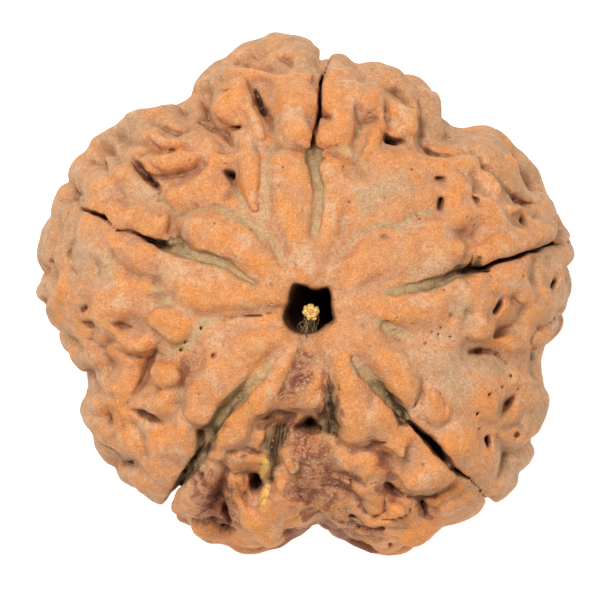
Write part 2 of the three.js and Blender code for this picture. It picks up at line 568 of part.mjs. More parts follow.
// A slit's blade, wide over the crests and narrow at its bottom, run on under the seed to the lower pore
function slitBlade(run, bearing, random) {
  const marks = run.map(([x, y, width, depth]) => ({ at: floorPoint(x, y, 1, CUT_LIFT), width, depth }));
  const [endX, endY] = run.at(-1);
  const endBearing = THREE.MathUtils.radToDeg(Math.atan2(endY, endX));
  for (const level of BLADE_LEVELS) {
    const share = Math.min(1, (BLADE_TURN_FROM - level) / BLADE_TURN_OVER);
    const stray = (random() - 0.5) * 2 * BLADE_STRAY;
    marks.push({
      at: floorAt(endBearing + turnBetween(bearing, endBearing) * share + stray, level),
      width: mix(...BLADE_WIDTHS, random()),
      depth: mix(...BLADE_DEPTHS, random()),
    });
  }
  marks.at(-1).depth = 0.1;
  const rings = marks.map((mark, i) => {
    const before = marks[Math.max(i - 1, 0)].at;
    const after = marks[Math.min(i + 1, marks.length - 1)].at;
    const out = mark.at.clone().normalize();
    const side = new THREE.Vector3().subVectors(after, before).cross(out).normalize();
    const width = Math.max(mark.width, BLADE_LEAST);
    const corner = (lift, half) => mark.at.clone().addScaledVector(out, lift).addScaledVector(side, half);
    return [
      corner(BLADE_OVER, width * BLADE_FLARE),
      corner(BLADE_OVER, -width * BLADE_FLARE),
      corner(-mark.depth, -width * BLADE_NARROW),
      corner(-mark.depth, width * BLADE_NARROW),
    ];
  });
  const skin = skinOver(rings);
  return facingOut(manifoldOf(skin), skin);
}

// A pit's peg, narrowing inwards from over the crests
function pitPeg(at, width, depth) {
  const long = depth + PEG_OVER;
  const peg = new THREE.CylinderGeometry(width * PEG_FLARE, width * PEG_NARROW, long, PEG_CORNERS, 1);
  peg.deleteAttribute("normal");
  peg.deleteAttribute("uv");
  const out = at.clone().normalize();
  peg.applyQuaternion(new THREE.Quaternion().setFromUnitVectors(new THREE.Vector3(0, 1, 0), out));
  const middle = at.clone().addScaledVector(out, RELIEF + PEG_OVER - long / 2);
  peg.translate(middle.x, middle.y, middle.z);
  return manifoldOf(peg);
}

// The bore: a five-cornered section, widest at both mouths, bent so that no light comes through
function boreSection(z) {
  const share = (z / (HALF_HEIGHT + 2)) ** 2;
  const wide = mix(BORE_WAIST, BORE_RADIUS, Math.min(1, share * 1.8));
  const bend = BORE_BEND * Math.cos((Math.PI / 2) * Math.min(1, Math.abs(z) / BORE_BEND_ENDS));
  const corners = [];
  for (let i = 0; i < 10; i += 1) {
    const turn = radians(BORE_CORNER_BEARING + 36 * i);
    const radius = wide * BORE_CORNERS[i % 2] * (1 + BORE_LOPSIDED * Math.sin(turn));
    corners.push(new THREE.Vector3(bend + radius * Math.cos(turn), radius * Math.sin(turn), z));
  }
  return corners;
}

function bore() {
  const skin = skinOver(BORE_LEVELS.map(boreSection));
  return facingOut(manifoldOf(skin), skin);
}

// The block under the standing level, which takes the lowest crests off
function groundBlock(level) {
  const block = new THREE.BoxGeometry(40, 40, 10);
  block.deleteAttribute("normal");
  block.deleteAttribute("uv");
  block.translate(0, 0, level - 5);
  return manifoldOf(block);
}

function lowestLevel(geometry) {
  geometry.computeBoundingBox();
  return geometry.boundingBox.min.z;
}

// The crumb of pith and its tuft of fibre, cut off where the tuft meets the wall of the mouth
function crumbSolid() {
  const ball = new THREE.IcosahedronGeometry(CRUMB_RADIUS, 3);
  ball.deleteAttribute("normal");
  ball.deleteAttribute("uv");
  const crumb = mergeVertices(ball, 1e-5);
  const place = crumb.getAttribute("position");
  const v = new THREE.Vector3();
  for (let i = 0; i < place.count; i += 1) {
    v.fromBufferAttribute(place, i);
    const lump = 1 + 0.12 * Math.sin(v.x * 11 + 1) * Math.cos(v.y * 9) + 0.08 * Math.sin(v.z * 13);
    v.multiplyScalar(lump).multiply(new THREE.Vector3(...CRUMB_STRETCH));
    v.add(new THREE.Vector3(...CRUMB_PLACE));
    place.setXYZ(i, v.x, v.y, v.z);
  }
  return manifoldOf(crumb);
}

function tuftSolid() {
  const path = new THREE.CatmullRomCurve3(TUFT_PATH.map((at) => new THREE.Vector3(...at)));
  const rings = path.getPoints(8).map((point, i) => {
    const half = TUFT_HALF + TUFT_GROWTH * i;
    return [0, 60, 120, 180, 240, 300].map((turn) => {
      const sideways = half * TUFT_FLATNESS * Math.cos(radians(turn));
      return new THREE.Vector3(point.x + sideways, point.y, point.z + half * Math.sin(radians(turn)));
    });
  });
  const skin = skinOver(rings);
  return facingOut(manifoldOf(skin), skin);
}

function remnantGeometry(stone) {
  return geometryOf(mainBody(crumbSolid().add(tuftSolid()).subtract(stone)));
}

function geometryOf(solid) {
  const mesh = solid.getMesh();
  const geometry = new THREE.BufferGeometry();
  const positions = new Float32Array(mesh.numVert * 3);
  for (let i = 0; i < mesh.numVert; i += 1) {
    positions.set(mesh.vertProperties.subarray(i * mesh.numProp, i * mesh.numProp + 3), i * 3);
  }
  geometry.setAttribute("position", new THREE.BufferAttribute(positions, 3));
  geometry.setIndex(new THREE.BufferAttribute(mesh.triVerts, 1));
  return geometry;
}

// Building the stone
const random = randomFrom(SEED_OF_RULE);
const lower = lowerRidges(random);
const petals = [...lowerPetals(random), collar(1), collar(-1)];
const ridges = [...upperRidges(), ...rimRidges(), ...lower.ridges, ...petals];
const rough = stoneMesh(ridges);
const standing = lowestLevel(rough) + FOOT_TRIM;
const blades = SLITS.map((run, i) => slitBlade(run, LOBES[i].bearing, random));
const upperPegs = PITS.map(([x, y, width, depth]) => {
  return pitPeg(floorPoint(x, y, 1, CUT_LIFT), width, depth);
});
const lowerPegs = lower.pits.map((at) => pitPeg(at, LOWER_PIT.width, LOWER_PIT.depth));
const cutters = [...blades, ...upperPegs, ...lowerPegs, bore()];
const opened = cutters.reduce((solid, cutter) => solid.subtract(cutter), manifoldOf(rough));
const cut = geometryOf(mainBody(opened));
const spare = cut.getAttribute("position").count - STONE_TRIANGLES / 2;
const light = await new SimplifyModifier().modify(cut, spare);
const stone = mainBody(manifoldOf(light).subtract(groundBlock(standing)));

const seedStone = new THREE.Mesh(
  geometryOf(stone),
  new THREE.MeshStandardMaterial({ color: SEED_COLOUR, roughness: 0.62, metalness: 0, flatShading: true }),
);
seedStone.name = "seed_stone";

const coreRemnant = new THREE.Mesh(
  remnantGeometry(stone),
  new THREE.MeshStandardMaterial({ color: REMNANT_COLOUR, roughness: 0.8, metalness: 0, flatShading: true }),
);
coreRemnant.name = "core_remnant";

// The seed stands on z = 0, with the middle of its outline over the origin.
const outline = new THREE.Box3().setFromBufferAttribute(seedStone.geometry.getAttribute("position"));
const middle = outline.getCenter(new THREE.Vector3());
const seed = new THREE.Group();
seed.add(seedStone, coreRemnant);
seed.position.set(-middle.x, -middle.y, -outline.min.z);

export default seed;
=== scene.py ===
# %% [markdown]
# # A rudraksha seed
#
# The object is the stone of a fruit: a dry woody body about 24 mm across with five lobes, ten
# petal-like ridges round a natural pore, and knobs, slits and pits all over. It grew as one piece, so
# it is made as one piece here, and the only other piece is a crumb of old pith in the mouth of the
# pore. Such a body could be sculpted by hand or pushed out of a ball with a displacement map. Both
# are hard to steer. Here the body is a *distance field*: a block of numbers that say how far each
# point of space is from the surface. Ridges are added to it, slits are taken from it, and one call
# turns it into a mesh.
#
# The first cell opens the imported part. Everything else is fitted to it.

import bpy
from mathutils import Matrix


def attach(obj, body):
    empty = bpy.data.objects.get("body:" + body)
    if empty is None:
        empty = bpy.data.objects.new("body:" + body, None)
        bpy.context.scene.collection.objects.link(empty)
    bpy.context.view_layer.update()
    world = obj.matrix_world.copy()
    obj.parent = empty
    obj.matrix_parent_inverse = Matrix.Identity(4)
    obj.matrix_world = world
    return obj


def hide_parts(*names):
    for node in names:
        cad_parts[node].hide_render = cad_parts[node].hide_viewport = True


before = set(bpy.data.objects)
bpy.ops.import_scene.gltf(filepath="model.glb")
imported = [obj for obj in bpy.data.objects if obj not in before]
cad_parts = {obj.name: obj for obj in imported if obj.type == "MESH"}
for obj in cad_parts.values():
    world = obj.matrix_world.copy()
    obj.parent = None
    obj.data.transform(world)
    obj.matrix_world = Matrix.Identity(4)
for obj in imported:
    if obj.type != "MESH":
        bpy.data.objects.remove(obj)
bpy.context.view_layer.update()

import math

import bpy
import numpy as np
import openvdb
from mathutils import Vector

scene = bpy.context.scene

# %% [markdown]
# All shapes below are worked out in millimetres in a *plan*: x to the right and y up as one looks
# straight down on the pore, with zero on the pore's axis at the widest level. The part stands on
# z = 0 with the middle of its outline over the origin, so one shift and one scale bring a plan
# point into the part's frame.

# %% From the plan to the part's frame
MM = 0.001
PLAN_ZERO = np.array([0.292, -0.631, 9.630])


def in_frame(points):
    return (np.asarray(points, dtype=float) + PLAN_ZERO) * MM


print("the pore's axis stands at", in_frame([0, 0, 0]).round(5))

# %% [markdown]
# ## The camera
#
# The photograph looks straight down on the pore from far enough away that the outline is not
# spread by perspective. A long lens from 0.6 m does the same. The picture is 600 pixels wide and
# one pixel is 0.044 mm at the widest level, so the lens follows from the width that has to fit.

# %% Camera over the pore
CAMERA_HEIGHT = 0.6
PICTURE = 600
PIXEL = 0.044
PORE_PIXEL = (309, 311)
SENSOR = 36

field_width = PICTURE * PIXEL * MM
centre = in_frame([(PICTURE / 2 - PORE_PIXEL[0]) * PIXEL, (PORE_PIXEL[1] - PICTURE / 2) * PIXEL, 0])
camera_data = bpy.data.cameras.new("seed_camera")
camera_data.sensor_width = SENSOR
camera_data.lens = SENSOR * CAMERA_HEIGHT / field_width
camera_data.clip_start = 0.01
camera_data.clip_end = 5
camera = bpy.data.objects.new("seed_camera", camera_data)
camera.location = (centre[0], centre[1], centre[2] + CAMERA_HEIGHT)
scene.collection.objects.link(camera)
scene.camera = camera
print("lens", round(camera_data.lens), "mm")

# %% [markdown]
# ## The block of samples
#
# The field is kept on a regular block of points. The spacing decides the finest shape that the mesh
# can hold: 0.1 mm is a little over two pixels of the picture. Random numbers are smoothed over the
# same block to give *soft noise*, which bends straight things and roughens smooth ones. A cubic
# spline between the random knots keeps the noise free of creases.

# %% Block and soft noise
VOXEL = 0.1
LOW = np.array([-13.3, -12.2, -10.6])
HIGH = np.array([12.9, 13.3, 11.0])
TICKS = [np.arange(low, high, VOXEL, dtype=np.float32) for low, high in zip(LOW, HIGH)]
X, Y, Z = np.meshgrid(*TICKS, indexing="ij", sparse=True)
NOISE_GAIN = 3.0


def soft_noise(spacing, seed):
    counts = [int((high - low) / spacing) + 5 for low, high in zip(LOW, HIGH)]
    values = np.random.default_rng(seed).standard_normal(counts).astype(np.float32)
    for axis, ticks in enumerate(TICKS):
        place = (ticks - LOW[axis]) / spacing + 1
        first = place.astype(int)
        t = place - first
        shares = [(1 - t) ** 3, 3 * t**3 - 6 * t**2 + 4, -3 * t**3 + 3 * t**2 + 3 * t + 1, t**3]
        shape = [1, 1, 1]
        shape[axis] = len(ticks)
        values = sum(
            np.take(values, first + step - 1, axis=axis) * (share / 6).reshape(shape)
            for step, share in enumerate(shares)
        )
    return values * NOISE_GAIN


print("samples", [len(ticks) for ticks in TICKS])

# %% [markdown]
# ## The furrow floor
#
# Under the ridges the stone is a plump body: a super-ellipse in side view and five lobes in plan,
# with valleys between them and a few hollows. The values are the ones that the part was built
# with, read off the photograph. The function gives the height of any point over that floor.

# %% Lobes, valleys and hollows
HALF_HEIGHT = 10.1
RELIEF = 0.9
SQUARENESS = 2.35
HOLLOW_FADE = 3
DISH_DEPTH = 0.55
DISH_SPREAD = 2.6
LOBES = [
    (14.5, 11.9),
    (87, 11.75),
    (154, 12.3),
    (235, 11.25),
    (313.5, 11.75),
]
VALLEYS = [
    (53, 1.5, 6.5),
    (119.5, 1.4, 8),
    (194.5, 1.5, 8.5),
    (272.5, 1.7, 10),
    (347.5, 1.2, 9),
]
HOLLOWS = [
    (-0.4, -5.9, 1.9, 0.9),
    (0.6, -8.6, 1.6, 0.3),
    (-3.0, -7.6, 1.2, 0.6),
    (-7.3, -2.7, 0.8, 0.7),
    (0, 0, 1.9, 0.3),
]
print("lobes", len(LOBES), "valleys", len(VALLEYS), "hollows", len(HOLLOWS))

# %% [markdown]
# The reach of the floor at any bearing is a smooth curve through the lobes, less the valleys. It is
# worked out once, every half degree, and looked up after that. A hollow is a round dent.

# %% Height over the furrow floor
def bearing_table():
    turns = np.arange(0, 360.5, 0.5)
    at = np.array([lobe[0] for lobe in LOBES])
    reach = np.array([lobe[1] for lobe in LOBES])
    after = np.searchsorted(at, turns, side="right") % len(at)
    before = (after - 1) % len(at)
    share = ((turns - at[before]) % 360) / ((at[after] - at[before]) % 360)
    wide = reach[before] + (reach[after] - reach[before]) * (1 - np.cos(np.pi * share)) / 2
    cut = np.zeros_like(turns)
    for bearing, depth, spread in VALLEYS:
        cut += depth * np.exp(-((((turns - bearing + 180) % 360 - 180) / spread) ** 2))
    return turns, wide, cut


TURNS, LOBE_REACH, VALLEY_CUT = bearing_table()


def bump(x, y, spread):
    return np.exp(-(x * x + y * y) / spread**2)


def over_floor(x, y, z):
    flat = np.hypot(x, y)
    far = np.maximum(np.hypot(flat, z), 1e-6)
    level = flat / far
    turn = np.degrees(np.arctan2(y, x)) % 360
    wide = np.interp(turn, TURNS, LOBE_REACH).astype(np.float32) - RELIEF
    wide = wide - np.interp(turn, TURNS, VALLEY_CUT).astype(np.float32) * level * level
    upright = np.abs(z) / far / (HALF_HEIGHT - RELIEF)
    radius = ((level / wide) ** SQUARENESS + upright**SQUARENESS) ** (-1 / SQUARENESS)
    scale = radius / far
    floor_x, floor_y, below = x * scale, y * scale, np.maximum(-z * scale, 0)
    hollow = sum(depth * bump(floor_x - hx, floor_y - hy, spread) for hx, hy, spread, depth in HOLLOWS)
    dish = np.where(z < 0, DISH_DEPTH * bump(floor_x, floor_y, DISH_SPREAD), 0)
    return far - (radius - hollow * bump(below, 0, HOLLOW_FADE) - dish)


OVER = over_floor(X, Y, Z).astype(np.float32)
print("samples inside the furrow floor", int((OVER < 0).sum()), "of", OVER.size)

# %% [markdown]
# ## Ridges
#
# A ridge is a row of balls along a path, joined by tapered lengths. Its top is capped a given
# height over the floor, so that a wide ridge is a plateau with round shoulders and not a pipe.
# Joining with a *smooth* minimum instead of a plain one fills the corner where a ridge meets the
# floor, as growth does. The points of a ridge are given in plan, where the photograph shows them,
# and their level is found by halving the step until the height over the floor is right.
#
# Two things keep the result from looking made. The ground between the ridges is raised a little on
# the upper half, where the furrows are shallow. And every shape is read at *warped* places, moved
# by soft noise, so that no ridge has an even edge.

# %% Ground and warp
CREST_BLEND = 0.5
SEEN_SPREAD = 1.08
FOOT_BLEND = 0.4
BLOCK_SPARE = 0.3
GROUND = 0.35
GROUND_LEVELS = (0.5, 4.0)
WARP_SEEDS = (11, 12, 13)
WARP_COARSE = (1.3, 0.06)
WARP_FINE = (0.45, 0.03)
HIGHEST_LEVEL = 12.0
LEVEL_HALVINGS = 22

grown = np.clip((Z - GROUND_LEVELS[0]) / (GROUND_LEVELS[1] - GROUND_LEVELS[0]), 0, 1)
FIELD = (OVER - GROUND * grown * grown * (3 - 2 * grown)).astype(np.float32)
WARP = [
    soft_noise(WARP_COARSE[0], seed) * WARP_COARSE[1] + soft_noise(WARP_FINE[0], seed + 3) * WARP_FINE[1]
    for seed in WARP_SEEDS
]
PLACES = [(ticks + warp).astype(np.float32) for ticks, warp in zip((X, Y, Z), WARP)]
most_warp = max(float(np.abs(warp).max()) for warp in WARP)
print("ground raised by up to", GROUND, "mm, places moved by up to", round(most_warp, 2), "mm")

# %% [markdown]
# The work is done in a small block round each ridge, since a ridge changes nothing far from it. That
# keeps hundreds of ridges within a few seconds.

# %% Growing a ridge
def smooth_least(a, b, blend):
    part = np.maximum(blend - np.abs(a - b), 0) / blend
    return np.minimum(a, b) - part * part * (blend * 0.25)


def smooth_most(a, b, blend):
    return -smooth_least(-a, -b, blend)


def level_for(x, y, lift):
    low, high = np.zeros(len(x)), np.full(len(x), HIGHEST_LEVEL)
    for _ in range(LEVEL_HALVINGS):
        middle = (low + high) / 2
        above = over_floor(x, y, middle) > lift
        low, high = np.where(above, low, middle), np.where(above, middle, high)
    return low


def block_round(points, reach):
    low = (np.min(points, axis=0) - reach - LOW) / VOXEL
    high = (np.max(points, axis=0) + reach - LOW) / VOXEL
    return tuple(slice(max(int(a), 0), max(int(b) + 2, 1)) for a, b in zip(low, high))


def nearest_length(block, points, widths):
    x, y, z = (place[block] for place in PLACES)
    best = None
    for a, b, wide_a, wide_b in zip(points, points[1:], widths, widths[1:]):
        run = b - a
        dx, dy, dz = x - a[0], y - a[1], z - a[2]
        share = np.clip((dx * run[0] + dy * run[1] + dz * run[2]) / max(run @ run, 1e-9), 0, 1)
        dx, dy, dz = dx - share * run[0], dy - share * run[1], dz - share * run[2]
        away = np.sqrt(dx * dx + dy * dy + dz * dz) - (wide_a + (wide_b - wide_a) * share)
        best = away if best is None else np.minimum(best, away)
    return best


def grow(points, widths, high):
    points = np.asarray(points, dtype=np.float32)
    block = block_round(points, max(widths) + FOOT_BLEND + BLOCK_SPARE)
    capped = smooth_most(nearest_length(block, points, widths), OVER[block] - high, CREST_BLEND)
    FIELD[block] = smooth_least(FIELD[block], capped, FOOT_BLEND)


def grow_seen(high, run):
    x, y, widths = (np.array(column, dtype=float) for column in zip(*run))
    widths = widths * SEEN_SPREAD
    grow(np.stack([x, y, level_for(x, y, high - widths)], axis=1), widths, high)


def grow_lobe(name, ridges):
    for high, run in ridges:
        grow_seen(high, run)
    print(name, len(ridges), "ridges")


print("ready to grow ridges")

# %% [markdown]
# ## Ridges that the photograph shows
#
# Each entry is a height over the floor and a run of plan points with half widths. They go lobe by
# lobe, from the pore outwards: first the pair of petals, then the knobs on the flank. A random
# pattern would be shorter, but then it would be some seed and not this one.
#
# The top lobe is the most broken up. Between its left petal and the left lobe stands a long thin
# ridge like a finger.

# %% Top lobe
TOP_LOBE = [
    (0.95, [(0.05, 1.7, 0.5), (-0.55, 3.2, 0.62), (-0.8, 4.6, 0.78), (-0.85, 6.35, 0.8)]),
    (0.85, [(0.1, 1.7, 0.5), (0.75, 3.0, 0.5), (1.05, 4.3, 0.45), (1.1, 6.4, 0.46)]),
    (0.85, [(1.9, 5.0, 0.75), (3.2, 5.6, 1.35), (4.5, 5.6, 1.35), (5.2, 5.6, 1.1)]),
    (1.05, [(-0.55, 7.9, 0.62), (-0.6, 9.0, 0.9), (-0.8, 10.2, 1.15), (-1.0, 11.1, 1.1)]),
    (1.05, [(1.5, 7.65, 0.5), (1.5, 8.3, 0.58), (1.42, 9.4, 0.72), (1.35, 10.6, 0.75)]),
    (1.05, [(0.85, 7.52, 0.46), (0.9, 7.95, 0.46)]),
    (0.95, [(1.9, 9.2, 0.55), (1.9, 10.2, 0.55)]),
    (1.0, [(0.85, 8.85, 0.32), (0.95, 9.8, 0.4)]),
    (1.0, [(2.2, 9.5, 0.6), (2.75, 9.3, 0.62), (2.6, 8.9, 0.45)]),
    (1.0, [(3.15, 8.15, 0.32), (2.8, 7.55, 0.5), (2.5, 6.95, 0.5)]),
    (1.0, [(3.85, 8.8, 0.6), (4.3, 8.4, 0.65), (4.5, 7.9, 0.5)]),
    (1.0, [(-2.8, 9.9, 0.45), (-2.5, 9.0, 0.42), (-2.1, 8.3, 0.42), (-1.95, 7.6, 0.36)]),
    (1.15, [(-2.8, 9.7, 0.42), (-3.3, 9.2, 0.55), (-3.62, 8.72, 0.64)]),
    (1.0, [(-3.05, 7.9, 0.35), (-2.95, 7.3, 0.48), (-2.65, 6.6, 0.55), (-2.55, 5.8, 0.55),
      (-2.42, 5.1, 0.48), (-2.25, 4.5, 0.34)]),
    (1.1, [(-4.35, 7.55, 0.3), (-4.3, 7.0, 0.56), (-4.25, 6.3, 0.6), (-3.5, 6.75, 0.4)]),
    (1.15, [(-2.95, 7.95, 0.25), (-2.9, 7.4, 0.42)]),
    (0.8, [(-4.4, 10.0, 0.8), (-3.3, 10.6, 0.95), (-2.2, 10.9, 0.9)]),
    (0.8, [(-5.6, 8.6, 0.75), (-4.6, 9.2, 0.7)]),
    (0.85, [(2.6, 10.2, 0.75), (3.9, 9.9, 0.75), (4.9, 9.4, 0.6)]),
    (0.9, [(5.4, 9.1, 0.5), (5.45, 8.0, 0.5)]),
    (1.1, [(-4.7, 10.0, 0.3), (-4.0, 10.4, 0.33), (-2.6, 10.5, 0.3), (-1.0, 10.3, 0.33), (0.0, 10.3, 0.3)]),
    (1.1, [(-3.9, 9.75, 0.2), (-3.2, 10.1, 0.2), (-2.2, 10.15, 0.24)]),
    (1.1, [(-2.2, 11.5, 0.25), (-1.6, 11.5, 0.25)]),
    (1.1, [(-3.6, 10.9, 0.25), (-2.9, 11.2, 0.3)]),
]
grow_lobe("top lobe", TOP_LOBE)

# %% [markdown]
# The left lobe reaches furthest. A bar lies across it near the valley to the top lobe, and knobs go
# down from the bar to the rim.

# %% Left lobe
LEFT_LOBE = [
    (0.9, [(-1.35, 1.65, 0.4), (-2.2, 2.45, 0.65), (-3.2, 3.1, 0.85), (-4.6, 3.5, 0.85)]),
    (0.85, [(-1.6, 0.5, 0.4), (-2.6, 0.55, 0.55), (-4.0, 0.65, 0.9), (-5.8, 1.3, 0.85)]),
    (1.15, [(-7.1, 6.6, 0.35), (-6.3, 6.48, 0.5), (-5.5, 6.6, 0.5), (-5.1, 6.75, 0.35)]),
    (0.85, [(-5.9, 5.0, 0.55), (-5.0, 5.35, 0.7), (-4.15, 5.6, 0.75)]),
    (0.85, [(-9.6, 5.6, 0.8), (-8.4, 5.3, 1.0), (-7.8, 5.7, 0.8)]),
    (1.0, [(-8.5, 4.4, 0.5), (-7.3, 4.15, 0.5), (-6.45, 3.75, 0.45)]),
    (0.95, [(-9.4, 3.2, 0.9), (-8.0, 2.4, 1.0), (-7.4, 2.4, 0.7)]),
    (0.9, [(-8.3, 1.2, 1.0), (-8.2, 0.4, 0.9)]),
    (0.8, [(-10.2, 6.3, 0.7), (-9.4, 6.8, 0.7)]),
    (0.85, [(-8.6, 7.4, 0.8), (-7.5, 8.0, 0.8)]),
    (0.85, [(-10.7, 3.4, 0.8), (-11.1, 2.3, 0.8)]),
    (0.85, [(-10.6, 1.0, 0.8), (-10.9, 0.0, 0.7)]),
    (0.8, [(-9.2, -0.2, 0.6), (-8.3, -0.3, 0.4)]),
    (0.95, [(-7.0, 3.7, 0.5), (-6.4, 3.75, 0.55)]),
    (0.9, [(-6.6, 7.6, 0.5), (-5.9, 7.35, 0.45)]),
    (0.85, [(-7.0, 8.3, 0.6), (-6.2, 8.5, 0.6)]),
]
grow_lobe("left lobe", LEFT_LOBE)

# %% [markdown]
# The lower left lobe has round balls next to its broad petal. Its other half is eroded: there the
# ridges are thin bridges over deep holes, and the two yellow flakes stand up like prongs.

# %% Lower left lobe
LOWER_LEFT_LOBE = [
    (1.1, [(-6.35, -0.3, 0.75), (-5.9, -0.7, 0.8)]),
    (1.0, [(-8.0, -1.3, 0.5), (-7.2, -1.5, 0.62)]),
    (1.15, [(-6.45, -2.6, 0.66), (-6.35, -3.1, 0.7)]),
    (1.1, [(-6.3, -2.75, 0.62), (-5.75, -2.75, 0.5)]),
    (0.95, [(-7.3, -4.0, 0.6), (-6.4, -4.1, 0.68)]),
    (0.95, [(-1.3, -1.1, 0.4), (-2.4, -1.55, 0.75), (-3.6, -2.3, 1.15), (-4.3, -3.4, 1.0),
      (-4.6, -4.3, 0.7)]),
    (0.95, [(-5.5, -5.5, 0.55), (-6.5, -5.9, 0.95), (-7.7, -5.5, 0.95)]),
    (0.9, [(-6.2, -6.6, 0.8), (-7.0, -7.2, 0.9)]),
    (0.9, [(-8.6, -3.6, 0.8), (-9.3, -4.5, 0.7), (-8.6, -5.2, 0.6)]),
    (0.9, [(-1.0, -2.2, 0.4), (-1.8, -3.3, 0.5), (-2.6, -4.6, 0.62), (-3.35, -5.6, 0.65),
      (-3.9, -6.4, 0.35)]),
    (0.95, [(-4.3, -7.3, 0.4), (-4.9, -8.4, 0.6), (-4.4, -9.3, 0.7)]),
    (1.2, [(-3.4, -6.85, 0.22), (-2.8, -6.75, 0.34), (-2.25, -6.65, 0.34)]),
    (1.25, [(-3.3, -7.4, 0.28), (-3.15, -8.2, 0.36), (-2.6, -9.0, 0.5)]),
    (1.2, [(-1.8, -8.0, 0.25), (-1.9, -8.8, 0.45), (-1.7, -9.4, 0.7)]),
    (1.15, [(-0.76, -6.58, 0.4), (-0.7, -6.62, 0.4)]),
    (0.8, [(-0.6, -5.9, 0.6), (0.3, -6.3, 0.8), (-0.2, -7.2, 0.9)]),
    (0.85, [(-1.2, -7.6, 0.6), (-0.6, -8.6, 0.8), (0.2, -8.5, 0.8), (1.3, -8.7, 0.8)]),
    (1.35, [(-1.88, -6.5, 0.15), (-1.98, -6.85, 0.17), (-2.15, -7.25, 0.09)]),
    (1.4, [(-1.78, -7.65, 0.09), (-1.9, -7.9, 0.14), (-2.03, -8.25, 0.15)]),
    (0.65, [(-10.7, -0.9, 0.6), (-10.0, -1.9, 0.75), (-9.5, -3.0, 0.75)]),
    (0.7, [(-9.3, -1.4, 0.7), (-8.6, -2.6, 0.8), (-8.3, -3.4, 0.6)]),
]
grow_lobe("lower left lobe", LOWER_LEFT_LOBE)

# %% [markdown]
# The lower right lobe is a wide calm plateau on its right and a tangle of curled ridges on its left,
# at the edge of the eroded valley.

# %% Lower right lobe
LOWER_RIGHT_LOBE = [
    (1.0, [(0.9, -1.4, 0.5), (1.45, -2.3, 0.45), (1.75, -3.4, 0.6), (1.95, -4.5, 0.8),
      (2.0, -5.25, 0.88)]),
    (0.95, [(2.9, -4.8, 0.8), (3.7, -5.6, 0.75), (4.0, -6.2, 0.4)]),
    (1.1, [(4.5, -7.3, 0.8), (5.2, -7.0, 0.9), (5.8, -7.2, 0.6)]),
    (1.15, [(1.2, -6.6, 0.22), (2.0, -6.8, 0.3), (2.7, -7.0, 0.38)]),
    (1.35, [(2.55, -7.4, 0.32), (2.8, -8.1, 0.46), (2.95, -8.45, 0.44)]),
    (1.1, [(3.85, -8.6, 0.5), (3.5, -8.9, 0.45)]),
    (0.95, [(3.2, -9.5, 0.6), (4.6, -9.6, 0.6)]),
    (0.85, [(5.9, -8.3, 0.6), (7.0, -8.3, 0.6)]),
    (0.9, [(1.3, -0.95, 0.45), (2.4, -1.5, 0.6), (3.4, -2.2, 0.75), (4.2, -3.2, 0.75),
      (4.5, -4.0, 0.5)]),
    (0.95, [(5.35, -3.8, 0.55), (5.55, -4.5, 0.6)]),
    (0.95, [(6.3, -5.5, 0.8), (7.2, -6.2, 0.9), (7.9, -7.2, 0.7)]),
    (0.6, [(5.9, -2.2, 0.8), (7.0, -2.9, 1.0), (7.3, -3.8, 0.9)]),
    (0.85, [(8.9, -3.2, 0.7), (9.6, -4.3, 0.8), (8.9, -5.3, 0.7)]),
]
grow_lobe("lower right lobe", LOWER_RIGHT_LOBE)

# %% [markdown]
# The right lobe is cut in two by a long slit. Its ridges are low and broad.

# %% Right lobe
RIGHT_LOBE = [
    (0.9, [(1.3, 1.35, 0.45), (2.5, 2.15, 0.8), (3.8, 2.4, 0.95), (5.4, 2.6, 0.95),
      (6.4, 2.75, 0.6)]),
    (1.0, [(7.6, 2.55, 0.5), (8.3, 2.9, 0.62), (9.7, 3.4, 0.6), (10.4, 3.7, 0.6)]),
    (0.8, [(5.7, 3.7, 0.6), (7.0, 4.3, 0.8), (8.0, 4.1, 0.7)]),
    (0.85, [(6.3, 5.5, 0.6), (7.0, 5.2, 0.5)]),
    (0.9, [(5.6, 6.5, 0.6), (6.9, 6.5, 0.5), (7.9, 5.9, 0.45), (8.25, 5.3, 0.4)]),
    (0.85, [(8.3, 7.2, 0.7), (9.2, 6.4, 0.7), (9.8, 5.4, 0.6)]),
    (0.9, [(9.0, 4.6, 0.45), (10.1, 4.6, 0.6)]),
    (0.85, [(1.35, 0.3, 0.45), (2.6, 0.25, 0.65), (3.9, 0.2, 0.8), (5.2, 0.4, 0.85)]),
    (0.9, [(6.4, 0.6, 0.9), (7.6, 0.8, 0.95), (8.8, 1.2, 0.9)]),
    (0.9, [(9.1, 0.3, 0.5), (10.2, 0.9, 0.7), (10.7, 2.0, 0.7)]),
    (0.8, [(7.3, -0.6, 0.7), (8.9, -1.3, 0.6), (10.0, -0.9, 0.7)]),
]
grow_lobe("right lobe", RIGHT_LOBE)

# %% [markdown]
# ## The rim
#
# The outline seen from above is drawn by knobs at the widest level: bearing, reach from the pore's
# axis, half width, and a level that puts it a little over or under its neighbours. Each runs a
# short way down the side, so that the rim isn't a string of pearls.

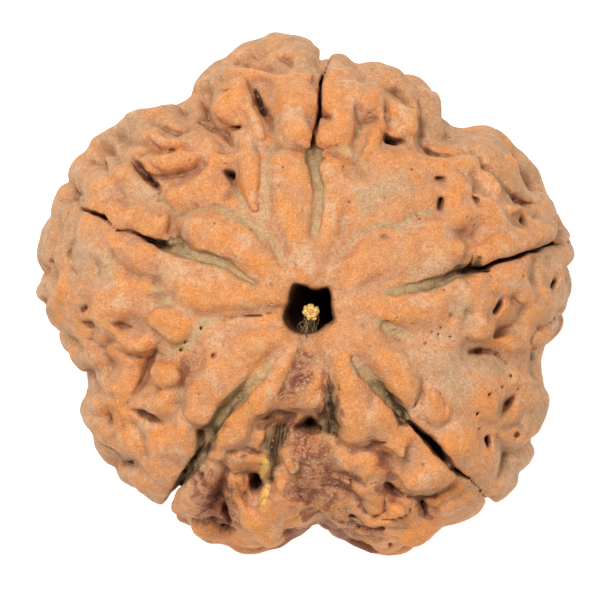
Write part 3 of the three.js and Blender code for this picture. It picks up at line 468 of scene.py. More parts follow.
# %% Rim knobs
RIM_KNOBS = [
    (4, 11.55, 0.75, 0.4), (14, 12.0, 0.7, -0.4), (23.5, 11.85, 0.75, 0.6), (35, 11.8, 0.9, 0.2),
    (44, 11.6, 0.8, -0.3), (60, 11.1, 0.75, 0.3), (67, 11.4, 0.7, -0.6), (76, 11.4, 0.8, 0.5),
    (81.5, 11.5, 0.5, -0.2), (92, 12.0, 0.9, 0.2), (97, 12.15, 0.8, -0.7), (104, 12.0, 0.5, 0.8),
    (112, 11.7, 0.85, -0.2), (129, 11.5, 0.8, 0.4), (139, 11.9, 0.9, -0.4), (149, 12.35, 0.85, 0.7),
    (156.5, 12.4, 0.85, 0.1), (165, 12.4, 0.9, 0.3), (176, 12.3, 0.5, -0.2), (181, 11.8, 0.8, 0.6),
    (103, 11.3, 0.7, 1.7), (49, 10.6, 0.6, 0.3), (188, 11.0, 0.7, -0.8), (204, 11.2, 0.65, 0.4),
    (213, 11.3, 0.8, -0.5), (222, 11.2, 0.75, 0.6),
    (229.5, 10.9, 0.7, -0.2), (236, 10.7, 0.5, 0.4), (246, 11.3, 0.85, -0.4), (251, 10.95, 0.8, 0.0),
    (255, 10.95, 0.7, 0.5),
    (262, 10.75, 0.55, -0.4), (281, 10.4, 0.5, 0.3), (288.5, 11.2, 0.75, -0.3), (297, 11.3, 0.75, 0.5),
    (308, 11.55, 0.7, -0.6), (318, 12.0, 0.85, 0.3), (326, 12.0, 0.6, -0.3), (337, 11.45, 0.9, 0.4),
    (344.5, 10.8, 0.4, -0.4), (356, 11.0, 0.7, 0.2), (53, 10.35, 0.7, 0.1), (120, 10.75, 0.8, -0.2),
    (195, 10.35, 0.8, 0.2), (190, 10.9, 0.75, 1.7), (198, 10.3, 0.8, 1.9), (268, 9.95, 0.7, 0.4),
    (276, 9.95, 0.6, -0.4), (349, 10.65, 0.8, -0.3),
]
RIM_RUN = (14, 0, -9)
RIM_TAPER = (0.7, 1, 0.8)
RIM_SINK = (0.35, 0, 0)
RIM_LEVEL_STEP = 6
RIM_LEAN = 0.12
RIM_LEAST = 0.35
FURTHEST_FLOOR = 14.0
FLOOR_HALVINGS = 30


def floor_at(bearing, level):
    b, e = math.radians(bearing), math.radians(level)
    way = np.array([math.cos(e) * math.cos(b), math.cos(e) * math.sin(b), math.sin(e)])
    low, high = 0.0, FURTHEST_FLOOR
    for _ in range(FLOOR_HALVINGS):
        middle = (low + high) / 2
        if over_floor(*(way * middle)) > 0:
            high = middle
        else:
            low = middle
    return way * low


def raised(points, lifts):
    return [p * (1 + lift / np.linalg.norm(p)) for p, lift in zip(points, lifts)]


for bearing, reach, wide, level in RIM_KNOBS:
    levels = [level * RIM_LEVEL_STEP + step for step in RIM_RUN]
    spots = [floor_at(bearing + turn * RIM_LEAN * math.copysign(1, level), turn) for turn in levels]
    high = max(reach - math.hypot(*spots[1][:2]), RIM_LEAST)
    widths = [wide * share for share in RIM_TAPER]
    grow(raised(spots, [high - w - sink for w, sink in zip(widths, RIM_SINK)]), widths, high)
print("rim knobs", len(RIM_KNOBS))

# %% [markdown]
# ## The half that the photograph doesn't show
#
# Below the rim the same kind of relief goes on by a rule: rows of knobs between each slit and the
# next valley, each joined to a neighbour or to a knob above it, and petals round the lower pore.
# The rule draws its numbers from the same small generator as the part, so both make the same
# knobs.

# %% Knobs of the lower half, by the part's own rule
ROWS = (-14, -26, -38, -50)
KNOB_SPACING = 2.3
LINK_CHANCE = 0.55
PIT_CHANCE = 0.28
KNOB_WIDTHS = (0.75, 1.15)
KNOB_HEIGHTS = (0.6, 1.05)
KNOB_STRAY = 0.4
KNOB_LEVEL_STRAY = 6
KNOB_MARGIN = 0.03
LINK_WAIST = 0.72
LINK_END = 0.9
LONE_LENGTH = 4
LOWER_PIT = (7, -6, 0.24)
SEED_OF_RULE = 5108
print("rows of knobs at levels", ROWS)

# %% [markdown]
# A rule that has to give the same knobs in two programs can't use either one's own random numbers.
# This small generator is one line of whole-number arithmetic that any language can repeat.

# %% Numbers of the rule
def draws_from(start):
    state = start
    while True:
        state = (state * 1664525 + 1013904223) % 2**32
        yield state / 2**32


def mix(a, b, share):
    return a + (b - a) * share


DRAWS = draws_from(SEED_OF_RULE)


def draw():
    return next(DRAWS)


print("the rule starts at", SEED_OF_RULE)

# %% [markdown]
# A row holds knobs of about even spacing, each strayed a little. A link is a ridge with a waist that
# runs from a knob to its partner, so the two look grown together and not set side by side.

# %% Rows and links
def knob_row(start, end, level):
    spot = floor_at(start, level)
    arc = math.radians(end - start) * math.hypot(spot[0], spot[1])
    count = max(1, math.floor(arc / KNOB_SPACING + 0.5))
    row = []
    for i in range(count):
        share = (i + 0.5 + (draw() - 0.5) * KNOB_STRAY) / count
        bearing = mix(start, end, mix(KNOB_MARGIN, 1 - KNOB_MARGIN, share))
        own_level = level + (draw() - 0.5) * KNOB_LEVEL_STRAY
        row.append((bearing, own_level, mix(*KNOB_WIDTHS, draw()), mix(*KNOB_HEIGHTS, draw())))
    return row


def link(knob, partner):
    waist = floor_at((knob[0] + partner[0]) / 2, (knob[1] + partner[1]) / 2)
    points = [floor_at(knob[0], knob[1]), waist, floor_at(partner[0], partner[1])]
    widths = [knob[2], knob[2] * LINK_WAIST, partner[2] * LINK_END]
    grow(raised(points, [knob[3] - w for w in widths]), widths, knob[3])


edges = sorted([lobe[0] for lobe in LOBES] + [valley[0] for valley in VALLEYS])
lower_pits = []
for start, end in zip(edges, edges[1:] + [edges[0] + 360]):
    above = []
    for level in ROWS:
        row = knob_row(start, end, level)
        for i, knob in enumerate(row):
            partners = []
            if i + 1 < len(row) and draw() < LINK_CHANCE:
                partners.append(row[i + 1])
            if above and draw() < LINK_CHANCE:
                partners.append(above[min(i, len(above) - 1)])
            if not partners:
                partners.append((knob[0], knob[1] + LONE_LENGTH, knob[2], knob[3]))
            for partner in partners:
                link(knob, partner)
            if draw() < PIT_CHANCE:
                lower_pits.append(floor_at(knob[0] + LOWER_PIT[0], knob[1] + LOWER_PIT[1]))
        above = row
print("lower pits", len(lower_pits))

# %% [markdown]
# ## Petals below, and a collar round each mouth
#
# Ten petals meet at the lower pore too, two to a lobe, and a low collar of wood runs round each
# mouth. A ring could be a torus, but a torus would float over the dished floor or sink into it.
# The collar is grown like any ridge, along a closed path whose points are found on the floor.

# %% Petals and collars round the pores
COLLAR_RADIUS = 1.75
COLLAR_HALF_WIDTH = 0.6
COLLAR_HEIGHT = 0.65
PETAL_DISTANCES = (1.75, 3.4, 5.4)
PETAL_TURNS = (14, 13, 17)
PETAL_WIDTHS = (0.45, 0.75, 1.02)
PETAL_HEIGHT = 0.95
PETAL_STRAY = 0.4
COLLAR_STEPS = 12
RING_HALVINGS = 24


def floor_under(x, y, half):
    low, high = 0.0, 90.0
    turn = math.degrees(math.atan2(y, x))
    for _ in range(RING_HALVINGS):
        level = (low + high) / 2
        spot = floor_at(turn, half * level)
        if math.hypot(spot[0], spot[1]) > math.hypot(x, y):
            low = level
        else:
            high = level
    return floor_at(turn, half * level)


for bearing, _ in LOBES:
    for side in (-1, 1):
        points = []
        for distance, turn in zip(PETAL_DISTANCES, PETAL_TURNS):
            turn = math.radians(bearing + side * (turn + (draw() - 0.5) * PETAL_STRAY))
            reach = distance + (draw() - 0.5) * PETAL_STRAY
            points.append(floor_under(reach * math.cos(turn), reach * math.sin(turn), -1))
        grow(raised(points, [PETAL_HEIGHT - w for w in PETAL_WIDTHS]), PETAL_WIDTHS, PETAL_HEIGHT)

for half in (1, -1):
    ring_turns = [math.radians(360 / COLLAR_STEPS * i) for i in range(COLLAR_STEPS + 1)]
    spots = [(COLLAR_RADIUS * math.cos(turn), COLLAR_RADIUS * math.sin(turn)) for turn in ring_turns]
    ring = [floor_under(x, y, half) for x, y in spots]
    widths = [COLLAR_HALF_WIDTH] * len(ring)
    grow(raised(ring, [COLLAR_HEIGHT - COLLAR_HALF_WIDTH] * len(ring)), widths, COLLAR_HEIGHT)
print("petals and collars grown")

# %% [markdown]
# ## Lumps
#
# The ridges are still too smooth for wood that grew. Soft noise of several sizes is added to the
# field itself, and more of it in the eroded lower valley, where the skin is gone. A Displace
# modifier on the mesh could do this too, but there it would stretch the faces on steep sides. In
# the field it costs nothing and stays even. The height of the top is noted for the cuts to follow.

# %% Lumps
LUMPS = ((2.2, 21, 0.06), (0.9, 22, 0.055), (0.42, 23, 0.03))
ERODED = [
    (-1.2, -5.2, 1.4), (-0.2, -7.4, 1.8), (1.6, -7.8, 1.4), (-3.4, -8.4, 1.3), (-0.4, -3.6, 0.8),
    (3.2, -6.6, 1.0),
]
ERODED_LUMPS = ((0.8, 24, 0.13), (0.34, 25, 0.09))
for spacing, seed, size in LUMPS:
    FIELD += (soft_noise(spacing, seed) * size).astype(np.float32)
worn = np.minimum(sum(bump(X - x, Y - y, wide) for x, y, wide in ERODED), 1) * (Z > 0)
for spacing, seed, size in ERODED_LUMPS:
    FIELD += (soft_noise(spacing, seed) * size * worn).astype(np.float32)
stone_below = FIELD[:, :, ::-1] < 0
TOP_LEVELS = np.where(stone_below.any(axis=2), TICKS[2][::-1][np.argmax(stone_below, axis=2)], 0)
print("lumps of", [spacing for spacing, _, _ in LUMPS + ERODED_LUMPS], "mm")

# %% [markdown]
# ## How a cut is made
#
# A cut is a path with a half width and a depth, and its sides lean in as it goes down. It is taken
# out of the field with a smooth maximum, which rounds its lips. A knife made of a mesh and a
# Boolean modifier would give sharp edges and long waits. On the upper half a cut goes nearly
# straight down, so that it shows where it was drawn. Lower down it goes towards the middle.

# %% Cutting along a path
LIP = 0.1
UPRIGHT_SHARE = 0.85
UPRIGHT_FROM = 3.0
CUT_SPARE = 1.4
THINNEST_DEPTH = 0.05
DOT_LENGTH = 0.02


def cut(points, widths, depths, taper=0.6, lip=LIP, under=None):
    under = UNCUT if under is None else under
    points = np.asarray(points, dtype=np.float32)
    for a, b, wa, wb, da, db in zip(points, points[1:], widths, widths[1:], depths, depths[1:]):
        deep = max(da, db)
        block = block_round(np.stack([a, b]), max(wa, wb) + deep + CUT_SPARE)
        out = (a + b) / np.linalg.norm(a + b)
        upright = UPRIGHT_SHARE * min(max((a[2] + b[2]) / 2 / UPRIGHT_FROM, 0), 1)
        out = out * (1 - upright) + np.array([0, 0, upright])
        out = (out / np.linalg.norm(out)).astype(np.float32)
        run = b - a
        run = run - (run @ out) * out
        px, py, pz = (place[block] - start for place, start in zip(PLACES, a))
        rise = px * out[0] + py * out[1] + pz * out[2]
        px, py, pz = px - rise * out[0], py - rise * out[1], pz - rise * out[2]
        share = np.clip((px * run[0] + py * run[1] + pz * run[2]) / max(run @ run, 1e-9), 0, 1)
        px, py, pz = px - share * run[0], py - share * run[1], pz - share * run[2]
        depth = da + (db - da) * share
        width = wa + (wb - wa) * share
        width = width * (1 - taper * np.clip(-under[block] / np.maximum(depth, THINNEST_DEPTH), 0, 1))
        gap = np.minimum(width - np.sqrt(px * px + py * py + pz * pz), under[block] + depth)
        FIELD[block] = smooth_most(FIELD[block], gap, lip)


print("lips of a cut are rounded over", LIP, "mm")

# %% [markdown]
# The photograph gives a cut's place in plan only. Its level is read off the top of the stone, as the
# mean of nine samples, so that one sharp knob can't lift a whole cut.

# %% Cutting where the photograph shows it
def top_path(run):
    if len(run) == 1:
        run = run + [(run[0][0] + DOT_LENGTH, run[0][1] + DOT_LENGTH) + run[0][2:]]
    x, y, widths, depths = (np.array(column, dtype=float) for column in zip(*run))
    i, j = (
        np.clip(np.rint((places - low) / VOXEL).astype(int), 2, len(ticks) - 3)
        for places, low, ticks in zip((x, y), LOW, TICKS)
    )
    level = np.mean([TOP_LEVELS[i + a, j + b] for a in (-2, 0, 2) for b in (-2, 0, 2)], axis=0)
    return np.stack([x, y, level], axis=1), widths, depths


def cut_seen(run, taper=0.6, lip=LIP, under=None):
    points, widths, depths = top_path(run)
    cut(points, widths, depths, taper, lip, under)


print("ready to cut")

# %% [markdown]
# ## Open grooves
#
# Wide shallow grooves part the petals of a lobe and the petals of neighbouring lobes. Their floor
# is of another substance, dry and olive, and runs calmly while the petals beside it rise and fall.
# So the depth of a groove is not counted from the surface but from one level over the furrow
# floor. What the grooves took away is kept too: it tells the material where to paint them.

# %% Open grooves
GROOVE_LEVEL = 0.9
GROOVE_TAPER = 0.25
GROOVE_LIP = 0.16
GROOVES = [
    [(0.2, 3.25, 0.2, 0.5), (0.3, 4.2, 0.27, 0.72), (0.33, 5.4, 0.28, 0.75), (0.3, 6.5, 0.24, 0.8),
     (0.2, 7.0, 0.15, 0.9)],
    [(-2.3, 1.15, 0.08, 0.5), (-3.0, 1.5, 0.15, 0.7), (-3.6, 1.9, 0.22, 0.8), (-4.5, 2.2, 0.26, 0.85),
     (-5.5, 2.6, 0.25, 0.9), (-6.4, 2.85, 0.18, 1.0)],
    [(-1.85, -2.3, 0.2, 0.4), (-2.35, -2.9, 0.3, 0.7), (-3.0, -3.7, 0.3, 0.9), (-3.6, -4.45, 0.27, 1.0),
     (-4.25, -5.3, 0.24, 1.1), (-4.75, -6.2, 0.22, 1.1), (-5.2, -6.95, 0.2, 1.1), (-5.7, -7.6, 0.18, 1.1)],
    [(1.9, -2.2, 0.2, 0.45), (2.3, -2.7, 0.3, 0.75), (2.9, -3.25, 0.28, 0.95), (3.5, -3.85, 0.23, 1.05),
     (4.08, -4.4, 0.17, 1.15), (4.35, -4.8, 0.07, 1.0)],
    [(3.0, 0.75, 0.1, 0.4), (3.8, 0.86, 0.22, 0.7), (4.4, 1.01, 0.25, 0.85), (5.0, 1.1, 0.26, 0.95),
     (5.6, 1.24, 0.26, 1.05),
     (6.1, 1.48, 0.2, 1.05), (6.5, 1.68, 0.17, 1.05), (7.0, 1.8, 0.15, 1.05)],
    [(2.9, -0.4, 0.1, 0.4), (3.4, -0.68, 0.3, 0.75), (4.0, -0.98, 0.36, 0.85), (4.65, -1.25, 0.2, 0.6)],
    [(-3.9, -0.5, 0.08, 0.3), (-4.6, -0.65, 0.2, 0.45), (-5.0, -1.2, 0.22, 0.5), (-5.5, -1.6, 0.22, 0.55),
     (-6.3, -1.9, 0.2, 0.6)],
    [(0.75, -3.1, 0.1, 0.5), (0.85, -3.6, 0.26, 0.8), (0.95, -4.3, 0.3, 1.0), (1.0, -5.0, 0.22, 1.0),
     (1.0, -5.6, 0.12, 0.7)],
    [(-1.4, -4.7, 0.3, 0.7), (-1.5, -5.2, 0.32, 0.85), (-1.65, -6.0, 0.3, 0.85), (-1.7, -6.8, 0.24, 0.85),
     (-1.75, -7.4, 0.16, 0.9)],
    [(1.0, -7.95, 0.3, 0.45), (1.7, -8.1, 0.35, 0.5)],
    [(-1.85, 7.2, 0.08, 0.4), (-1.88, 6.4, 0.14, 0.5), (-1.88, 5.2, 0.16, 0.52), (-1.85, 4.2, 0.15, 0.45),
     (-1.9, 3.6, 0.12, 0.4)],
    [(1.3, 7.0, 0.1, 0.4), (1.9, 6.9, 0.2, 0.45), (2.1, 7.3, 0.12, 0.45), (2.3, 7.9, 0.08, 0.45)],
    [(-1.75, 3.0, 0.1, 0.3), (-2.2, 3.45, 0.16, 0.4), (-2.8, 3.98, 0.18, 0.42), (-3.3, 4.4, 0.14, 0.4)],
]
FROM_LEVEL = OVER - GROOVE_LEVEL
WHOLE = FIELD.copy()
for run in GROOVES:
    cut_seen(run, GROOVE_TAPER, GROOVE_LIP, FROM_LEVEL)
GROOVED = FIELD - WHOLE
print("open grooves", len(GROOVES))

# %% [markdown]
# ## Dips, folds and creases
#
# Knobs that have grown into each other meet in a crease, and some creases are open cracks. A cut
# alone would look scratched in with a needle. On the real stone the wood sinks towards a crease
# from both sides. So first a soft *dip* is pressed in along every run, then the folds are cut with
# round lips and full taper, and last the creases, thin and sharper. Where a crease is no wider
# than a hair its lips stay crisp, or it would close again. The field from before the cuts is kept:
# it tells the material how deep inside a cut a point is.

# %% Creases of the top lobe
TOP_CREASES = [
    [(-2.3, 9.8, 0.1, 0.8), (-2.1, 9.3, 0.19, 1.7), (-1.85, 8.8, 0.2, 1.7), (-1.65, 8.45, 0.14, 1.0),
     (-1.5, 8.0, 0.13, 0.5),
     (-1.35, 7.3, 0.13, 0.4)],
    [(-2.98, 8.22, 0.12, 1.6), (-3.3, 8.12, 0.12, 0.7), (-3.7, 7.98, 0.12, 0.4)],
    [(-4.75, 8.25, 0.14, 0.5), (-4.1, 8.0, 0.2, 0.8), (-3.6, 7.75, 0.24, 0.95), (-3.42, 7.3, 0.13, 0.7)],
    [(-1.2, 11.15, 0.1, 0.4), (-0.85, 10.95, 0.17, 0.6)],
    [(-6.8, 8.2, 0.1, 0.3), (-6.3, 7.95, 0.14, 0.5), (-5.8, 7.75, 0.15, 0.5), (-5.3, 7.85, 0.1, 0.3)],
    [(-7.0, 6.0, 0.15, 0.9), (-6.4, 5.95, 0.15, 0.8), (-5.6, 6.05, 0.13, 0.8), (-5.0, 6.3, 0.12, 0.6),
     (-4.85, 6.5, 0.06, 0.3)],
    [(-3.68, 6.14, 0.16, 1.9), (-3.42, 6.0, 0.2, 1.9), (-3.28, 5.7, 0.12, 0.8), (-3.15, 5.35, 0.14, 0.5),
     (-2.9, 4.9, 0.12, 0.3)],
    [(-1.7, 7.1, 0.1, 0.45), (-1.2, 7.25, 0.1, 0.4), (-0.5, 7.1, 0.13, 0.5), (0.0, 6.98, 0.1, 0.5)],
    [(0.42, 8.5, 0.08, 1.2), (0.95, 8.45, 0.06, 0.8)],
    [(1.0, 7.1, 0.08, 0.4), (1.3, 6.88, 0.1, 0.45), (2.0, 6.6, 0.1, 0.45), (2.5, 6.25, 0.06, 0.25)],
    [(0.4, 7.05, 0.08, 0.35), (1.0, 7.05, 0.08, 0.4)],
    [(2.25, 8.2, 0.14, 0.5), (2.55, 8.35, 0.2, 0.65), (2.95, 8.5, 0.12, 0.6)],
    [(2.3, 8.1, 0.1, 0.5), (2.05, 7.7, 0.1, 0.4), (1.95, 7.2, 0.08, 0.3), (2.05, 6.7, 0.06, 0.3)],
    [(3.35, 7.85, 0.1, 0.9), (3.42, 7.52, 0.2, 2.0), (3.7, 7.42, 0.18, 1.9), (4.0, 7.47, 0.1, 1.2),
     (4.2, 7.47, 0.05, 0.3)],
    [(4.95, 7.4, 0.1, 0.6), (5.3, 7.1, 0.14, 1.1), (5.7, 6.95, 0.12, 0.9), (6.1, 6.85, 0.08, 0.5),
     (6.6, 6.95, 0.06, 0.3),
     (7.2, 6.95, 0.06, 0.25)],
    [(4.0, 10.6, 0.05, 0.25), (4.7, 9.9, 0.07, 0.3), (5.1, 9.4, 0.06, 0.25)],
    [(3.4, 9.4, 0.06, 0.3), (3.42, 8.9, 0.09, 0.4), (3.4, 8.5, 0.12, 0.5), (3.45, 8.0, 0.12, 0.7)],
    [(3.1, 3.08, 0.06, 0.3), (3.4, 3.25, 0.1, 0.45), (3.62, 3.12, 0.06, 0.35)],
]
print("creases of the top lobe", len(TOP_CREASES))

# %% [markdown]
# The left lobe's creases are short and deep near the bar, and faint towards the rim.

# %% Creases of the left lobe
LEFT_CREASES = [
    [(-1.2, 1.95, 0.04, 0.2), (-1.5, 2.6, 0.06, 0.3), (-1.75, 3.0, 0.08, 0.3)],
    [(-3.3, 4.4, 0.1, 0.4), (-4.0, 4.62, 0.08, 0.4), (-4.9, 4.55, 0.07, 0.4), (-5.5, 4.2, 0.08, 0.4),
     (-5.9, 4.05, 0.07, 0.4)],
    [(-5.9, 4.05, 0.07, 0.4), (-6.0, 3.5, 0.07, 0.5), (-5.95, 3.1, 0.07, 0.4)],
    [(-6.6, 5.3, 0.1, 0.4), (-6.5, 4.9, 0.08, 0.3), (-5.95, 4.35, 0.08, 0.4), (-5.5, 4.2, 0.06, 0.35)],
    [(-4.9, 6.3, 0.1, 0.15), (-4.4, 6.4, 0.1, 0.12), (-3.95, 6.3, 0.1, 0.2)],
    [(-3.7, 4.75, 0.08, 0.35), (-3.35, 5.15, 0.12, 0.5), (-3.25, 5.5, 0.1, 0.5)],
    [(-1.6, -0.18, 0.05, 0.5), (-2.2, -0.32, 0.055, 0.7), (-3.3, -0.33, 0.055, 0.7), (-3.8, -0.5, 0.04, 0.4)],
    [(-7.1, 1.5, 0.2, 0.3), (-6.75, 1.35, 0.25, 0.45), (-6.5, 1.1, 0.12, 0.25)],
    [(-7.1, 0.75, 0.15, 0.25), (-6.7, 0.7, 0.22, 0.4), (-6.35, 0.65, 0.12, 0.3)],
    [(-7.75, 6.5, 0.16, 0.5), (-7.45, 6.3, 0.2, 1.3), (-7.05, 5.9, 0.2, 1.9), (-6.75, 5.55, 0.18, 1.8),
     (-6.55, 5.3, 0.1, 0.7)],
    [(-9.6, 6.55, 0.05, 0.3), (-9.1, 6.4, 0.07, 0.45), (-8.82, 6.22, 0.09, 0.7)],
    [(-10.8, 5.7, 0.07, 0.4), (-10.5, 5.3, 0.11, 0.7), (-10.38, 5.08, 0.07, 0.4), (-9.9, 5.15, 0.05, 0.2)],
    [(-10.25, 3.1, 0.07, 0.3), (-10.5, 2.6, 0.09, 0.4), (-10.3, 2.2, 0.07, 0.3)],
    [(-9.3, 2.0, 0.07, 0.45), (-9.22, 1.6, 0.08, 0.5)],
    [(-10.45, 1.95, 0.09, 0.45), (-10.3, 1.7, 0.06, 0.35)],
    [(-9.95, 0.08, 0.12, 1.4), (-9.78, 0.2, 0.13, 1.4)],
    [(-9.95, -0.52, 0.1, 0.7), (-9.7, -0.6, 0.17, 0.9), (-9.5, -0.75, 0.08, 0.6)],
    [(-8.55, -0.63, 0.08, 0.6), (-8.2, -0.68, 0.15, 0.9), (-7.8, -0.7, 0.1, 0.7)],
]
print("creases of the left lobe", len(LEFT_CREASES))

# %% [markdown]
# Round the balls of the lower left lobe the creases are wide and end in a deep hole.

# %% Creases of the lower left lobe
LOWER_LEFT_CREASES = [
    [(-9.5, -0.9, 0.05, 0.25), (-9.6, -1.3, 0.07, 0.3), (-9.1, -1.6, 0.06, 0.25), (-8.7, -1.35, 0.12, 0.35),
     (-8.3, -1.5, 0.07, 0.25)],
    [(-9.0, -1.9, 0.05, 0.3), (-8.68, -2.3, 0.07, 0.4), (-8.8, -2.85, 0.06, 0.35)],
    [(-8.4, -1.75, 0.05, 0.3), (-7.9, -2.0, 0.07, 0.4), (-7.3, -2.15, 0.09, 0.6)],
    [(-6.3, -1.9, 0.1, 0.4), (-6.75, -1.8, 0.1, 0.7), (-7.05, -2.15, 0.19, 0.8), (-7.2, -2.7, 0.3, 1.1),
     (-7.38, -3.25, 0.24, 1.0),
     (-7.6, -3.6, 0.07, 0.6), (-8.05, -4.2, 0.05, 0.35)],
    [(-6.45, -1.3, 0.06, 0.4), (-6.7, -1.75, 0.08, 0.5)],
    [(-7.7, -4.3, 0.07, 0.5), (-7.3, -4.5, 0.17, 1.1), (-6.85, -4.72, 0.18, 1.2), (-6.35, -5.0, 0.1, 0.7)],
    [(-8.75, -4.5, 0.12, 0.5), (-8.67, -4.85, 0.15, 0.6)],
    [(-9.0, -5.85, 0.06, 0.35), (-8.55, -6.15, 0.09, 0.5), (-8.3, -6.4, 0.05, 0.3)],
    [(-8.25, -6.75, 0.07, 0.5), (-7.8, -6.75, 0.11, 0.7), (-7.5, -6.9, 0.06, 0.4)],
    [(-4.95, -5.18, 0.06, 0.4), (-4.75, -5.35, 0.14, 0.8), (-4.7, -5.6, 0.12, 0.8)],
    [(-3.7, -6.1, 0.06, 0.3), (-3.35, -6.3, 0.12, 0.5), (-2.7, -6.2, 0.15, 0.5), (-2.2, -6.35, 0.12, 0.5)],
    [(-3.9, -6.6, 0.06, 0.4), (-3.65, -7.05, 0.15, 0.9), (-3.85, -7.6, 0.24, 1.1), (-4.05, -8.15, 0.3, 1.2),
     (-3.75, -8.75, 0.22, 1.1),
     (-3.5, -9.3, 0.15, 0.6)],
    [(-4.55, -6.7, 0.1, 0.25), (-4.65, -7.3, 0.12, 0.4)],
    [(-3.3, -7.2, 0.08, 0.5), (-2.75, -7.2, 0.12, 0.7), (-2.38, -7.4, 0.26, 1.8), (-2.38, -7.75, 0.36, 2.4),
     (-2.45, -8.0, 0.28, 2.0)],
    [(-2.85, -7.4, 0.06, 0.6), (-2.85, -8.2, 0.08, 0.6), (-2.7, -8.7, 0.06, 0.3)],
    [(-1.6, -7.5, 0.08, 0.5), (-1.6, -8.2, 0.07, 0.4)],
]
print("creases of the lower left lobe", len(LOWER_LEFT_CREASES))

# %% [markdown]
# The eroded valley is all cracks. One of the deepest opens straight below the pore.

# %% Creases of the lower right lobe and the eroded valley
LOWER_RIGHT_CREASES = [
    [(-0.2, -1.15, 0.06, 0.35), (-0.2, -2.0, 0.08, 0.25)],
    [(-2.1, -4.8, 0.12, 0.4), (-1.4, -4.5, 0.2, 0.6), (-0.75, -4.65, 0.22, 0.7), (-1.2, -5.2, 0.2, 0.5)],
    [(-0.45, -5.08, 0.2, 1.3), (0.0, -4.98, 0.36, 2.2), (0.35, -5.18, 0.24, 1.6)],
    [(-0.95, -8.15, 0.08, 0.35), (-0.4, -8.0, 0.15, 0.5), (0.2, -7.95, 0.1, 0.35)],
    [(-0.25, -8.7, 0.1, 0.2), (0.15, -8.65, 0.13, 0.25), (0.6, -8.62, 0.08, 0.1)],
    [(0.65, -6.82, 0.1, 0.4), (1.2, -7.0, 0.18, 0.6), (1.9, -7.28, 0.18, 0.6), (2.4, -7.6, 0.12, 0.5)],
    [(0.4, -7.48, 0.08, 0.4), (1.2, -7.6, 0.17, 0.55), (1.85, -7.9, 0.2, 0.55), (2.25, -8.35, 0.15, 0.6),
     (2.45, -8.8, 0.08, 0.5),
     (2.95, -9.05, 0.07, 0.5), (3.35, -8.85, 0.06, 0.5), (3.35, -8.3, 0.08, 0.6)],
    [(3.4, -7.7, 0.24, 1.7), (3.62, -7.9, 0.24, 1.7), (3.95, -8.1, 0.12, 0.9), (4.4, -8.2, 0.08, 0.7),
     (4.9, -8.25, 0.1, 0.9),
     (5.6, -8.1, 0.08, 0.6), (6.2, -7.65, 0.06, 0.35)],
    [(4.85, -8.28, 0.12, 1.0), (5.05, -8.55, 0.15, 1.5), (5.2, -8.95, 0.1, 1.0)],
    [(4.5, -8.4, 0.06, 0.4), (4.4, -8.9, 0.06, 0.45), (3.7, -9.2, 0.06, 0.45), (2.9, -9.2, 0.05, 0.35)],
    [(1.82, -9.0, 0.13, 1.4), (2.0, -9.08, 0.12, 1.4)],
    [(1.2, -5.4, 0.08, 0.5), (1.4, -5.85, 0.09, 0.5), (1.95, -6.17, 0.1, 0.6), (2.5, -6.0, 0.1, 0.6),
     (2.9, -5.75, 0.12, 0.6),
     (3.4, -5.6, 0.1, 0.4)],
    [(3.15, -5.85, 0.06, 0.35), (3.5, -5.95, 0.05, 0.35)],
    [(2.7, -6.1, 0.15, 0.3), (3.3, -6.5, 0.25, 0.4), (4.1, -7.0, 0.22, 0.3)],
    [(4.95, -3.1, 0.05, 0.3), (4.92, -3.7, 0.06, 0.4), (4.6, -4.15, 0.07, 0.45)],
    [(4.95, -3.1, 0.04, 0.25), (5.6, -3.2, 0.04, 0.2), (5.95, -4.1, 0.05, 0.25), (5.8, -4.9, 0.04, 0.2)],
    [(8.58, -4.4, 0.13, 0.6), (8.75, -4.05, 0.28, 1.1), (8.98, -3.8, 0.15, 0.7)],
    [(7.85, -5.62, 0.2, 1.6), (7.9, -5.85, 0.2, 1.6)],
]
print("creases of the lower right lobe and the eroded valley", len(LOWER_RIGHT_CREASES))

# %% [markdown]
# The right lobe has few creases, and slots that look punched.

